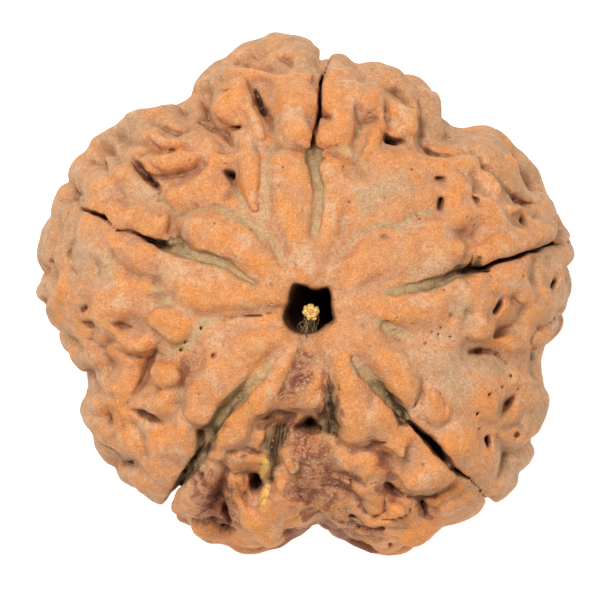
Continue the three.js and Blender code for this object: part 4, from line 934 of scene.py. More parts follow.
# %% Creases of the right lobe
RIGHT_CREASES = [
    [(7.15, -1.88, 0.18, 0.9), (7.5, -1.84, 0.2, 1.3), (7.9, -1.8, 0.12, 0.8), (8.3, -1.9, 0.09, 0.6),
     (8.62, -2.35, 0.07, 0.5)],
    [(8.28, 0.1, 0.22, 1.3), (8.42, 0.36, 0.16, 0.9), (8.5, 0.55, 0.08, 0.4)],
    [(8.25, -1.1, 0.16, 0.8), (8.55, -0.85, 0.3, 0.9), (9.05, -0.62, 0.18, 0.4)],
    [(10.7, 1.12, 0.16, 0.6), (10.88, 1.38, 0.2, 0.6)],
    [(9.8, -2.1, 0.05, 0.3), (9.75, -1.2, 0.07, 0.35), (10.1, -0.7, 0.07, 0.3), (10.8, -0.35, 0.05, 0.25)],
    [(7.15, 7.1, 0.05, 0.3), (7.6, 6.75, 0.07, 0.35), (7.7, 6.3, 0.13, 0.5), (8.05, 6.2, 0.1, 0.3),
     (8.4, 5.65, 0.07, 0.25),
     (8.75, 5.35, 0.14, 0.6), (9.1, 5.05, 0.2, 1.0), (9.5, 4.9, 0.17, 0.6), (10.2, 4.8, 0.06, 0.2)],
    [(9.33, 4.35, 0.08, 0.4), (9.4, 4.05, 0.17, 1.0), (9.5, 3.88, 0.14, 0.6)],
    [(7.22, 5.0, 0.12, 0.5), (7.45, 4.75, 0.2, 0.7)],
    [(6.3, 3.55, 0.12, 0.3), (6.8, 3.4, 0.18, 0.5), (7.2, 3.35, 0.16, 0.5), (7.55, 3.6, 0.1, 0.2)],
    [(7.05, 2.0, 0.1, 0.8), (7.2, 2.6, 0.06, 0.5)],
    [(5.6, 5.83, 0.13, 1.0), (5.88, 5.78, 0.13, 1.0)],
    [(5.7, 4.66, 0.16, 1.6), (5.8, 5.0, 0.15, 1.5)],
]
print("creases of the right lobe", len(RIGHT_CREASES))

# %% [markdown]
# From the corners of the pore hair cracks run outwards between the petals.

# %% Fine cracks at the pore's corners
PORE_CRACKS = [
    [(0.85, 1.15, 0.045, 0.5), (1.1, 1.45, 0.045, 0.45), (1.3, 1.75, 0.04, 0.3)],
    [(1.1, 2.1, 0.03, 0.18), (1.35, 2.6, 0.035, 0.22), (1.55, 2.9, 0.035, 0.22), (1.9, 3.25, 0.05, 0.25)],
    [(2.0, 3.35, 0.07, 0.2), (2.6, 3.55, 0.12, 0.22), (3.2, 3.75, 0.14, 0.22), (3.9, 3.7, 0.12, 0.2),
     (4.3, 4.0, 0.1, 0.22),
     (4.8, 4.35, 0.1, 0.2), (5.3, 4.5, 0.06, 0.18)],
]
print("fine cracks at the pore's corners", len(PORE_CRACKS))

# %% [markdown]
# Folds are what a crease becomes where the skin is whole: wide, round and shallow.

# %% Folds
FOLDS = [
    [(-7.45, 6.7, 0.1, 0.3), (-6.9, 7.05, 0.12, 0.3), (-6.0, 7.18, 0.15, 0.3), (-5.2, 7.2, 0.12, 0.2)],
    [(2.1, 8.8, 0.2, 0.15), (2.2, 8.3, 0.15, 0.3)],
    [(-1.3, 11.1, 0.15, 0.25), (-0.9, 11.1, 0.15, 0.3)],
    [(4.9, 9.3, 0.15, 0.25), (4.97, 8.6, 0.2, 0.35), (4.97, 7.9, 0.2, 0.35), (4.95, 7.4, 0.15, 0.3)],
    [(-5.8, 4.0, 0.15, 0.3), (-5.75, 3.4, 0.18, 0.35), (-5.6, 2.9, 0.2, 0.4)],
    [(3.5, 9.7, 0.2, 0.3), (3.9, 9.55, 0.28, 0.45), (4.3, 9.25, 0.2, 0.35)],
    [(-7.05, -3.2, 0.1, 0.4), (-6.6, -3.4, 0.1, 0.25), (-6.0, -3.4, 0.1, 0.2)],
    [(-5.2, -2.2, 0.1, 0.2), (-5.22, -2.7, 0.1, 0.2), (-5.5, -3.3, 0.14, 0.25), (-5.6, -4.1, 0.14, 0.2),
     (-5.5, -4.9, 0.1, 0.1)],
    [(-0.7, 10.8, 0.2, 0.2), (-1.2, 10.6, 0.2, 0.25), (-3.5, 11.0, 0.25, 0.25), (-4.6, 10.6, 0.2, 0.2)],
    [(-4.7, 9.9, 0.2, 0.2), (-4.75, 9.2, 0.25, 0.3), (-4.5, 8.6, 0.25, 0.4), (-4.1, 8.2, 0.2, 0.4)],
    [(-9.2, 7.3, 0.2, 0.25), (-8.7, 6.8, 0.2, 0.25), (-8.2, 6.5, 0.15, 0.2)],
    [(-8.9, 8.1, 0.2, 0.2), (-8.3, 7.6, 0.25, 0.25), (-7.9, 7.3, 0.2, 0.25), (-7.2, 7.3, 0.2, 0.25),
     (-6.5, 7.1, 0.15, 0.3)],
    [(-8.8, 5.9, 0.2, 0.2), (-8.3, 5.2, 0.25, 0.2), (-8.0, 4.7, 0.2, 0.2)],
    [(-11.2, 3.0, 0.2, 0.2), (-11.3, 2.2, 0.25, 0.25), (-11.2, 1.4, 0.2, 0.2)],
    [(-9.0, 3.3, 0.15, 0.15), (-8.6, 2.5, 0.2, 0.2), (-7.9, 1.7, 0.2, 0.2), (-7.3, 1.5, 0.15, 0.25)],
    [(8.6, 7.6, 0.15, 0.2), (9.1, 7.0, 0.2, 0.25), (9.4, 6.3, 0.2, 0.2), (9.7, 5.6, 0.15, 0.2)],
    [(7.2, 6.0, 0.15, 0.15), (7.5, 5.5, 0.22, 0.25), (7.2, 5.2, 0.2, 0.25)],
    [(6.3, 0.2, 0.2, 0.15), (6.9, 0.0, 0.2, 0.15), (7.2, -0.6, 0.2, 0.15)],
    [(7.9, 0.9, 0.2, 0.2), (9.0, 0.5, 0.2, 0.2), (9.4, 0.0, 0.2, 0.25), (9.2, -0.4, 0.2, 0.2)],
    [(9.9, 2.3, 0.2, 0.2), (9.8, 1.4, 0.22, 0.2), (10.2, 0.6, 0.2, 0.2)],
    [(7.8, -4.9, 0.2, 0.15), (8.6, -5.2, 0.2, 0.2), (9.3, -5.0, 0.2, 0.2)],
    [(8.3, -7.2, 0.2, 0.2), (8.6, -6.3, 0.2, 0.2), (8.3, -5.5, 0.2, 0.2)],
    [(6.6, -8.1, 0.15, 0.2), (6.0, -8.4, 0.2, 0.25), (5.5, -8.7, 0.15, 0.25)],
    [(-7.7, -5.0, 0.2, 0.2), (-7.3, -5.6, 0.2, 0.2), (-7.2, -6.4, 0.2, 0.2)],
    [(-9.6, -2.6, 0.2, 0.2), (-9.3, -3.4, 0.25, 0.25), (-8.4, -3.8, 0.2, 0.2)],
    [(-8.3, -4.5, 0.15, 0.2), (-8.1, -5.1, 0.2, 0.25), (-8.6, -5.5, 0.2, 0.2)],
    [(-5.0, -9.3, 0.2, 0.25), (-4.3, -9.2, 0.2, 0.3), (-3.6, -9.6, 0.2, 0.3)],
    [(1.9, -9.3, 0.15, 0.3), (2.3, -9.6, 0.2, 0.3), (3.2, -9.6, 0.2, 0.3), (4.1, -9.7, 0.15, 0.2)],
]
print("folds", len(FOLDS))

# %% [markdown]
# Now all of them are pressed and cut, in the order told above.

# %% Cutting dips, folds and creases
CREASES = TOP_CREASES + LEFT_CREASES + LOWER_LEFT_CREASES + LOWER_RIGHT_CREASES + RIGHT_CREASES + PORE_CRACKS
DIP_SPREAD = 0.5
DIP_DEPTH = 0.34
DIP_FULL = 0.6
FOLD_TAPER = 0.9
FOLD_LIP = 0.25
CREASE_SHARE = 0.72
CREASE_TAPER = 0.85
CREASE_LIP = 0.2
HAIRLINE = 0.06
HAIRLINE_LIP = 0.04


def dip_field(runs):
    dip = np.zeros(FIELD.shape, dtype=np.float32)
    for run in runs:
        points, widths, depths = top_path(run)
        for a, b, wide, deep in zip(points, points[1:], widths, depths):
            block = block_round(np.stack([a, b]), wide + 3 * DIP_SPREAD)
            away = np.maximum(nearest_length(block, [a, b], [wide, wide]), 0) / DIP_SPREAD
            share = DIP_DEPTH * min(1, deep / DIP_FULL)
            dip[block] = np.maximum(dip[block], share * np.exp(-away * away))
    return dip


FIELD += dip_field(CREASES + FOLDS)
UNCUT = FIELD.copy()
for run in FOLDS:
    cut_seen(run, FOLD_TAPER, FOLD_LIP)
for run in CREASES:
    lip = CREASE_LIP if max(point[2] for point in run) > HAIRLINE else HAIRLINE_LIP
    cut_seen([(x, y, wide, deep * CREASE_SHARE) for x, y, wide, deep in run], CREASE_TAPER, lip)
print("creases cut", len(CREASES))

# %% [markdown]
# ## Slits
#
# A slit runs down the middle of each lobe and closes to a crack towards the rim. The photograph
# shows its upper part. Below the rim it goes on to the lower pore along points that a rule gives,
# each with its own width and depth. The first of them are shallow, because the outline shows no
# notch there. Two lobes differ. On the one at the left an ear of wood covers the end of the slit,
# so that slit stops and starts again below the ear. On the one at the lower left the slit opens
# wide at the rim and shows as a notch in the outline.

# %% Slits
SLITS = [
    [(6.6, 1.75, 0.12, 0.3), (7.0, 1.8, 0.16, 0.9), (7.8, 1.87, 0.15, 1.2), (8.4, 2.2, 0.1, 1.3),
     (9.2, 2.4, 0.1, 1.4),
     (10.0, 2.65, 0.09, 1.2), (10.8, 3.1, 0.05, 0.4)],
    [(0.15, 6.95, 0.12, 0.3), (0.17, 7.4, 0.11, 0.5), (0.33, 7.9, 0.1, 0.7), (0.42, 8.5, 0.08, 1.3),
     (0.45, 9.2, 0.08, 1.4),
     (0.5, 9.9, 0.08, 1.4), (0.62, 10.35, 0.06, 0.9), (0.78, 10.85, 0.04, 0.3)],
    [(-6.0, 2.75, 0.15, 0.3), (-6.4, 2.9, 0.16, 0.9), (-6.9, 3.12, 0.13, 1.3), (-7.4, 3.4, 0.09, 1.2),
     (-7.8, 3.56, 0.05, 0.5),
     (-8.3, 3.6, 0.04, 0.4), (-8.75, 3.95, 0.05, 0.6), (-8.95, 4.12, 0.1, 1.6), (-9.4, 4.27, 0.09, 1.3),
     (-9.85, 4.5, 0.06, 0.9),
     (-10.3, 4.85, 0.04, 0.4)],
    [(-4.6, -5.95, 0.04, 0.12), (-5.06, -6.42, 0.07, 0.22), (-5.45, -6.95, 0.05, 0.2),
     (-5.7, -7.45, 0.05, 0.15), (-5.8, -7.7, 0.08, 0.7)],
    [(4.3, -4.8, 0.08, 0.6), (4.65, -5.2, 0.14, 1.5), (5.15, -5.65, 0.18, 2.2), (5.6, -6.15, 0.2, 2.2),
     (6.0, -6.6, 0.15, 1.8),
     (6.25, -6.95, 0.12, 0.7), (6.6, -7.12, 0.11, 1.4), (6.95, -7.3, 0.06, 0.9), (7.4, -7.8, 0.04, 0.4),
     (7.7, -8.2, 0.05, 0.4)],
]
BLADE_LEVELS = (4, -12, -28, -44, -58, -68)
BLADE_WIDTHS = (0.1, 0.19)
BLADE_DEPTHS = (0.8, 1.6)
BLADE_STRAY = 1.5
BLADE_TURN_FROM = 12
BLADE_TURN_OVER = 40
SHALLOW_BLADES = ((0.03, 0.25), (0.06, 0.45))
COVERED = 154
NOTCHED = 235
NOTCH_BLADES = ((0.26, 1.4), (0.34, 1.9), (0.3, 1.6))
NOTCH_TURN_FROM = -20
SLIT_TAPER = 0.4
NOTCH_TAPER = 0.5

for (bearing, _), run in zip(LOBES, SLITS):
    points, widths, depths = (list(column) for column in top_path(run))
    if bearing == COVERED:
        cut_seen(run, SLIT_TAPER)
        points, widths, depths = [], [], []
    end_bearing = math.degrees(math.atan2(run[-1][1], run[-1][0]))
    for level in BLADE_LEVELS:
        turn_from = NOTCH_TURN_FROM if bearing == NOTCHED else BLADE_TURN_FROM
        share = min(1, max(0, (turn_from - level) / BLADE_TURN_OVER))
        turn = (bearing - end_bearing + 180) % 360 - 180
        points.append(floor_at(end_bearing + turn * share + (draw() - 0.5) * 2 * BLADE_STRAY, level))
        widths.append(mix(*BLADE_WIDTHS, draw()))
        depths.append(mix(*BLADE_DEPTHS, draw()))
    first = len(points) - len(BLADE_LEVELS)
    for number, blade in enumerate(NOTCH_BLADES if bearing == NOTCHED else SHALLOW_BLADES, first):
        widths[number], depths[number] = blade
    if bearing == COVERED:
        points, widths, depths = points[1:], widths[1:], depths[1:]
    cut(points, widths, depths, NOTCH_TAPER if bearing == NOTCHED else SLIT_TAPER)
print("slits", len(SLITS))

# %% [markdown]
# ## Small pits
#
# Pin holes and worm-eaten dots are cuts of almost no length. Only those that the photograph shows
# are listed one by one. The larger pits of the lower half come from the rule of its knobs.

# %% Small pits and pin holes
PIT_TAPER = 0.3
PIT_LIP = 0.08
LOWER_PIT_DEPTH = 1.5
PITS = [
    (-4.7, -0.8, 0.08, 0.7), (-5.4, -1.3, 0.07, 0.7), (-5.55, -1.65, 0.09, 0.8), (-4.05, 3.75, 0.08, 0.3),
    (-4.2, -1.95, 0.13, 0.3), (-4.8, -5.3, 0.1, 0.4), (1.75, 4.7, 0.07, 0.25), (2.85, 5.6, 0.06, 0.25),
    (3.3, 4.97, 0.06, 0.25),
    (5.3, -1.0, 0.07, 0.5), (5.6, -1.15, 0.08, 0.55), (5.7, -0.85, 0.07, 0.5), (6.15, -1.25, 0.07, 0.5),
    (7.78, -3.65, 0.08, 0.5),
    (8.35, -3.35, 0.07, 0.45), (8.75, -2.85, 0.07, 0.45), (9.1, -3.4, 0.07, 0.45), (7.3, -4.45, 0.08, 0.5),
    (5.95, -4.9, 0.06, 0.4),
    (7.4, -5.15, 0.06, 0.4), (9.1, -5.5, 0.15, 0.35), (3.6, -10.25, 0.07, 0.6), (-7.55, 7.1, 0.05, 0.4),
    (-2.6, -3.9, 0.05, 0.3), (-1.95, -2.9, 0.05, 0.3), (6.1, -0.3, 0.1, 0.25), (-4.8, -3.55, 0.05, 0.25),
]
for spot in PITS:
    cut_seen([spot], PIT_TAPER, PIT_LIP)
for spot in lower_pits:
    cut([spot, spot * 1.001], [LOWER_PIT[2]] * 2, [LOWER_PIT_DEPTH] * 2)
print("pits", len(PITS) + len(lower_pits))

# %% [markdown]
# ## The bore
#
# The natural pore goes from pole to pole. Its mouth has five blunt corners, one for each valley. In
# the photograph nothing of its far end shows, so it bends off its axis half way down.

# %% Bore from pole to pole
BORE_RADIUS = 1.0
BORE_WAIST = 0.62
BORE_BEND = 1.7
BORE_BEND_ENDS = 8.5
BORE_FLARE = 1.8
BORE_LIP = 0.2
BORE_ROOM = [(-1.6, -1.6, -11), (3.4, 1.6, 11)]
PORE_OUTLINE = [
    (-0.7, 1.18), (-0.35, 1.15), (0.1, 0.95), (0.35, 0.93), (0.7, 1.03), (0.85, 1.02), (0.95, 0.3), (1.0, -0.1),
    (1.1, -0.35), (0.7, -0.6), (0.15, -0.95), (-0.1, -1.0), (-0.55, -0.93), (-1.0, -0.6), (-1.12, -0.3),
    (-1.02, 0.15), (-0.87, 0.4), (-0.8, 0.9),
]


def carve_bore():
    corner_turns = np.degrees(np.arctan2(*np.array(PORE_OUTLINE)[:, ::-1].T)) % 360
    order = np.argsort(corner_turns)
    reach = np.hypot(*np.array(PORE_OUTLINE).T)[order]
    block = block_round(BORE_ROOM, 0.5)
    x, y, z = X[block[0]], Y[:, block[1]], Z[:, :, block[2]]
    bend = BORE_BEND * np.cos((np.pi / 2) * np.minimum(1, np.abs(z) / BORE_BEND_ENDS))
    wide = mix(BORE_WAIST, BORE_RADIUS, np.minimum(1, (z / (HALF_HEIGHT + 2)) ** 2 * BORE_FLARE))
    dx = x - bend
    turn = np.degrees(np.arctan2(y, dx)) % 360
    outline = np.interp(turn, corner_turns[order], reach, period=360)
    wall = np.hypot(dx, y) - outline * wide
    FIELD[block] = smooth_most(FIELD[block], -wall, BORE_LIP)
    return block, wall.astype(np.float32)


BORE_BLOCK, BORE_WALL = carve_bore()
print("bore carved")

# %% [markdown]
# ## From the field to a mesh
#
# OpenVDB turns the field into quads in a fraction of a second. There are more of them than a piece
# may have, so a Decimate modifier thins them out, most where the surface is calm. Leaving it to
# choose keeps the same detail on every side: holding it to the unseen half would crush that half
# to big flat facets. Loose crumbs and sealed pockets are dropped, and only the main body stays.

# %% Mesh helpers
MOST_TRIANGLES = 196000


def volume_mesh(block):
    grid = openvdb.FloatGrid(1.0)
    grid.copyFromArray(np.ascontiguousarray(block, dtype=np.float32))
    points, _, quads = grid.convertToPolygons(isovalue=0.0, adaptivity=0.0)
    return points * VOXEL + LOW, quads.astype(np.int32)


def mesh_object(name, points, faces):
    mesh = bpy.data.meshes.new(name)
    mesh.from_pydata([], [], [])
    sides = faces.shape[1]
    mesh.vertices.add(len(points))
    mesh.vertices.foreach_set("co", np.ascontiguousarray(points, dtype=np.float32).ravel())
    mesh.loops.add(faces.size)
    mesh.loops.foreach_set("vertex_index", np.ascontiguousarray(faces, dtype=np.int32).ravel())
    mesh.polygons.add(len(faces))
    mesh.polygons.foreach_set("loop_start", np.arange(0, faces.size, sides, dtype=np.int32))
    mesh.update(calc_edges=True)
    mesh.validate()
    made = bpy.data.objects.new(name, mesh)
    scene.collection.objects.link(made)
    return made


def main_body(count, faces):
    label = np.arange(count)
    starts = faces.ravel()
    ends = np.roll(faces, -1, axis=1).ravel()
    while True:
        low = np.minimum(label[starts], label[ends])
        new = label.copy()
        np.minimum.at(new, starts, low)
        np.minimum.at(new, ends, low)
        new = new[new]
        if np.array_equal(new, label):
            break
        label = new
    names, sizes = np.unique(label, return_counts=True)
    return label == names[np.argmax(sizes)]


def applied(piece, kind, **settings):
    modifier = piece.modifiers.new(kind.lower(), kind)
    for key, value in settings.items():
        setattr(modifier, key, value)
    graph = bpy.context.evaluated_depsgraph_get()
    mesh = bpy.data.meshes.new_from_object(piece.evaluated_get(graph))
    piece.modifiers.clear()
    piece.data = mesh


def mesh_arrays(mesh):
    points = np.empty(len(mesh.vertices) * 3, dtype=np.float32)
    mesh.vertices.foreach_get("co", points)
    mesh.calc_loop_triangles()
    faces = np.empty(len(mesh.loop_triangles) * 3, dtype=np.int32)
    mesh.loop_triangles.foreach_get("vertices", faces)
    return points.reshape(-1, 3), faces.reshape(-1, 3)


print("mesh helpers ready")

# %% [markdown]
# The mesh is thinned out first and swept for loose crumbs after that, because the sweep is quicker
# on fewer faces. Points that no face needs any more go with the crumbs.

# %% Mesh of the stone
points, quads = volume_mesh(FIELD)
rough = mesh_object("stone_rough", points, quads)
print("quads", len(quads))
applied(rough, "DECIMATE", ratio=min(1, MOST_TRIANGLES / (2 * len(quads))))
points, faces = mesh_arrays(rough.data)
kept = main_body(len(points), faces)
faces = faces[kept[faces[:, 0]]]
renumber = np.cumsum(kept) - 1
points, faces = points[kept], renumber[faces]
bpy.data.objects.remove(rough)
print("triangles", len(faces), "box", points.min(0).round(2), points.max(0).round(2))

# %% [markdown]
# ## What the material needs to know
#
# The finish changes with the shape: crests are rubbed and orange, furrows are greenish khaki and
# darker in their low hollows, partly as painted shade, and cuts are painted dark as shade. Those
# facts are measured on the field and stored on the vertices as *attributes*, which the material
# reads. A blurred copy of the field tells crest from furrow: over a crest the blur sees mostly air,
# in a furrow mostly stone. The alternative is to paint the colours by hand on a picture, which would
# have to be drawn again after every change to the shape.

# %% Reading and blurring the field
def read(block, places):
    spot = (places - LOW) / VOXEL
    first = np.clip(spot.astype(int), 0, np.array(block.shape) - 2)
    t = np.clip(spot - first, 0, 1)
    total = np.zeros(len(places))
    for corner in np.ndindex(2, 2, 2):
        share = np.prod(np.where(np.array(corner) == 1, t, 1 - t), axis=1)
        total += share * block[tuple((first + corner).T)]
    return total


def blurred(block, reach):
    steps = max(int(round(reach / VOXEL)), 1)
    for axis in (0, 1, 2):
        for _ in (0, 1):
            pad = [(0, 0)] * 3
            pad[axis] = (steps + 1, steps)
            sums = np.cumsum(np.pad(block, pad, mode="edge"), axis=axis, dtype=np.float32)
            size = block.shape[axis]
            block = (np.take(sums, range(2 * steps + 1, 2 * steps + 1 + size), axis=axis)
                     - np.take(sums, range(0, size), axis=axis)) / (2 * steps + 1)
    return block


print("ready to measure the field")

# %% [markdown]
# Five facts are measured: crest or furrow, depth sunk in a cut, depth of an open groove, height
# over the furrow floor, and how far down the side a point lies.

# %% Facts of each point
RIM_STARTS = 7.0
RIM_FADES = 4.0
FRONT_EDGE = -10.5
FRONT_FADES = 4
CREST_NEAR = 0.5
CREST_BLUR = 0.25
CREST_FULL = 0.1
# The rim share drives the tan veil, partly painted shade of the steep sides; it is weaker towards the front edge.
rim_front_fade = np.clip((points[:, 1] - FRONT_EDGE) / FRONT_FADES, 0.25, 1)
facts = {
    "crest": read(blurred(np.clip(FIELD, -CREST_NEAR, CREST_NEAR), CREST_BLUR), points) / CREST_FULL,
    "sunk": -read(UNCUT, points),
    "groove": read(GROOVED, points),
    "height": read(OVER, points) / RELIEF,
    "rim": np.clip((RIM_STARTS - points[:, 2]) / RIM_FADES, 0, 1) * rim_front_fade,
}
for name, values in facts.items():
    print(name, values.min().round(2), values.mean().round(2), values.max().round(2))

# %% [markdown]
# ## Marks that are only colour
#
# Some marks have no shape of their own: khaki seams where the lobes have grown together, pale
# dusty plateaus, rubbed orange patches, crust in the eroded lower valley with dark strokes that are
# partly stain and partly painted shade along its creases, and painted shadow under the lower edge,
# the dry olive floor of the grooves, and two yellow flakes. They could be a painted picture. Here
# they are strokes in plan, each a run of points with a half width and, where it matters, a
# strength. The mask of a stroke fades like a soft brush, and it counts only on the upper half. The
# strokes are read at wavy places, so that their edges wander as growth does.
#
# The fibres in the grooves run along them. Each point therefore also learns how far along its
# nearest groove it lies, and how far to the side: streaks of noise follow from those two.

# %% Seams and pale plateaus
SEAMS = [
    [(-1.2, 2.0, 0.06), (-1.5, 2.7, 0.14), (-2.2, 3.4, 0.22), (-2.8, 3.95, 0.26), (-3.2, 4.35, 0.22),
     (-4.0, 4.6, 0.12),
     (-4.9, 4.5, 0.12), (-5.6, 4.15, 0.16), (-6.0, 4.4, 0.16), (-6.4, 4.9, 0.14)],
    [(-2.2, 3.4, 0.16), (-1.9, 4.4, 0.18), (-1.85, 5.6, 0.16), (-1.75, 7.0, 0.16)],
    [(-3.3, 5.5, 0.12), (-3.1, 5.1, 0.2), (-2.8, 4.6, 0.2)],
    [(-4.2, -0.45, 0.15), (-4.7, -0.6, 0.26), (-5.1, -1.2, 0.34), (-5.6, -1.65, 0.32), (-6.4, -1.85, 0.28)],
    [(-5.8, 0.3, 0.15), (-6.3, 0.6, 0.26), (-6.6, 1.0, 0.22)],
    [(-5.65, -3.2, 0.1), (-5.65, -4.2, 0.14)],
    [(-2.3, 1.15, 0.12), (-3.0, 1.5, 0.2), (-4.5, 2.2, 0.24), (-5.5, 2.6, 0.22)],
    [(1.1, 2.1, 0.06), (1.9, 3.3, 0.12), (2.5, 3.5, 0.2), (3.2, 3.75, 0.24), (3.9, 3.7, 0.2),
     (4.3, 4.0, 0.2), (4.8, 4.35, 0.2),
     (5.3, 4.5, 0.15)],
    [(3.0, -0.45, 0.2), (3.8, -0.85, 0.34), (4.5, -1.2, 0.26)],
    [(0.2, 3.2, 0.2), (0.3, 4.5, 0.3), (0.33, 5.8, 0.3), (0.2, 6.8, 0.2)],
    [(1.4, 7.0, 0.14), (1.9, 6.8, 0.2), (2.3, 6.4, 0.14), (2.5, 6.1, 0.08)],
    [(1.9, 7.2, 0.12), (2.3, 7.9, 0.12)],
    [(3.2, 0.82, 0.2), (4.4, 1.1, 0.28), (5.4, 1.4, 0.24)],
    [(-1.5, 8.2, 0.12), (-1.35, 7.3, 0.16)],
    [(-1.85, -2.35, 0.26), (-2.5, -3.1, 0.36), (-3.2, -3.9, 0.3)],
    [(2.0, -2.25, 0.26), (2.5, -2.85, 0.36), (3.0, -3.35, 0.3)],
]
PALE = [
    [(4.8, -1.6, 0.4), (6.2, -2.3, 0.8), (6.6, -3.4, 0.6)], [(7.0, -2.3, 0.6), (8.4, -2.3, 0.5)],
    [(5.6, -1.0, 0.4), (6.4, -0.9, 0.4)],
    [(8.8, -6.2, 0.5), (9.1, -7.4, 0.6)], [(6.4, 0.3, 0.4), (7.0, -0.4, 0.4)],
    [(2.2, 4.8, 0.6), (3.6, 5.4, 0.8)], [(8.6, 1.5, 0.3), (9.6, 1.0, 0.4)],
    [(-9.0, 1.6, 0.7), (-8.6, 2.6, 0.5)], [(-10.2, 3.0, 0.6), (-9.8, 2.2, 0.6)],
    [(-7.4, 5.2, 0.5), (-6.9, 5.0, 0.5)],
]
print("seams", len(SEAMS), "pale strokes", len(PALE))

# %% [markdown]
# Rubbed spots are the strongest orange on the stone. They sit on the crests of petals and balls.

# %% Rubbed orange spots
GLOW = [
    [(-1.0, 3.2, 0.3), (-0.7, 4.4, 0.45)], [(0.9, 6.5, 0.25), (1.3, 6.7, 0.3)],
    [(0.7, 7.4, 0.3), (0.75, 8.1, 0.3)],
    [(1.4, 7.6, 0.35), (1.5, 8.4, 0.35)], [(0.9, 8.8, 0.2), (1.1, 9.8, 0.3)],
    [(2.9, 9.6, 0.25), (3.2, 9.1, 0.2)],
    [(3.1, 8.2, 0.2), (2.7, 7.4, 0.3)], [(4.6, 8.7, 0.25), (4.75, 8.4, 0.2)],
    [(-2.7, 9.8, 0.2), (-3.9, 9.2, 0.2)],
    [(-0.9, 8.15, 0.2), (-0.2, 7.9, 0.25)], [(-6.9, 6.9, 0.15), (-5.4, 6.95, 0.15)],
    [(-2.4, 6.6, 0.25), (-2.3, 5.4, 0.25)],
    [(-4.0, 3.4, 0.4), (-2.2, 2.1, 0.4)], [(-3.2, 0.6, 0.5), (-1.8, 0.5, 0.3)],
    [(-6.0, -0.3, 0.45), (-5.7, -0.6, 0.4)],
    [(-7.8, -1.7, 0.25), (-7.3, -1.7, 0.25)], [(-6.4, -2.4, 0.35), (-6.2, -3.0, 0.35)],
    [(-3.4, -3.3, 0.5), (-2.2, -1.9, 0.3)],
    [(-3.2, -4.7, 0.35), (-2.2, -3.2, 0.3)], [(-6.2, -5.4, 0.5), (-5.6, -5.0, 0.3)],
    [(-2.9, -6.7, 0.2), (-2.5, -6.6, 0.2)],
    [(-3.2, -7.5, 0.2), (-3.1, -8.3, 0.25)], [(-2.4, -9.3, 0.35), (-1.7, -9.4, 0.35)],
    [(-0.78, -6.6, 0.34, 1.8), (-0.68, -6.6, 0.34, 1.8)],
    [(2.0, -4.2, 0.5), (1.9, -5.4, 0.5)], [(1.6, -2.2, 0.3), (1.8, -3.4, 0.3)],
    [(2.7, -7.9, 0.25), (3.0, -8.6, 0.3)],
    [(3.9, -8.5, 0.25), (3.5, -8.9, 0.2)], [(2.6, 0.0, 0.3), (4.4, -0.1, 0.3)],
    [(3.0, -2.0, 0.5), (4.4, -3.4, 0.4)],
    [(5.4, -3.9, 0.35), (5.6, -4.6, 0.35)], [(6.3, 6.7, 0.2), (7.2, 6.4, 0.2)],
    [(6.1, 5.1, 0.25), (6.5, 5.4, 0.2)],
    [(8.6, 6.9, 0.25), (9.2, 6.5, 0.25)], [(7.6, 2.9, 0.3), (8.5, 3.2, 0.3)],
    [(10.2, 3.5, 0.2), (10.4, 3.6, 0.2)],
    [(-10.7, 0.9, 0.4), (-10.8, -0.2, 0.4)], [(-9.4, 0.0, 0.3), (-8.6, -0.2, 0.3)],
    [(-9.3, 5.3, 0.3), (-8.6, 5.9, 0.3)],
    [(-9.4, -4.0, 0.3), (-8.4, -4.3, 0.3)], [(-2.2, 11.2, 0.15, 0.6), (-1.5, 11.6, 0.18, 0.6)],
    [(-3.6, 10.5, 0.15), (-2.2, 10.5, 0.15)],
    [(-5.0, -9.6, 0.4), (-3.0, -10.2, 0.4), (-1.2, -10.2, 0.4)],
    [(2.4, -10.2, 0.4), (4.6, -10.0, 0.5), (5.8, -9.2, 0.4)],
    [(-8.2, -4.2, 0.3), (-8.0, -5.4, 0.35)], [(6.6, -7.6, 0.3), (7.2, -8.2, 0.3)],
]
print("rubbed spots", len(GLOW))
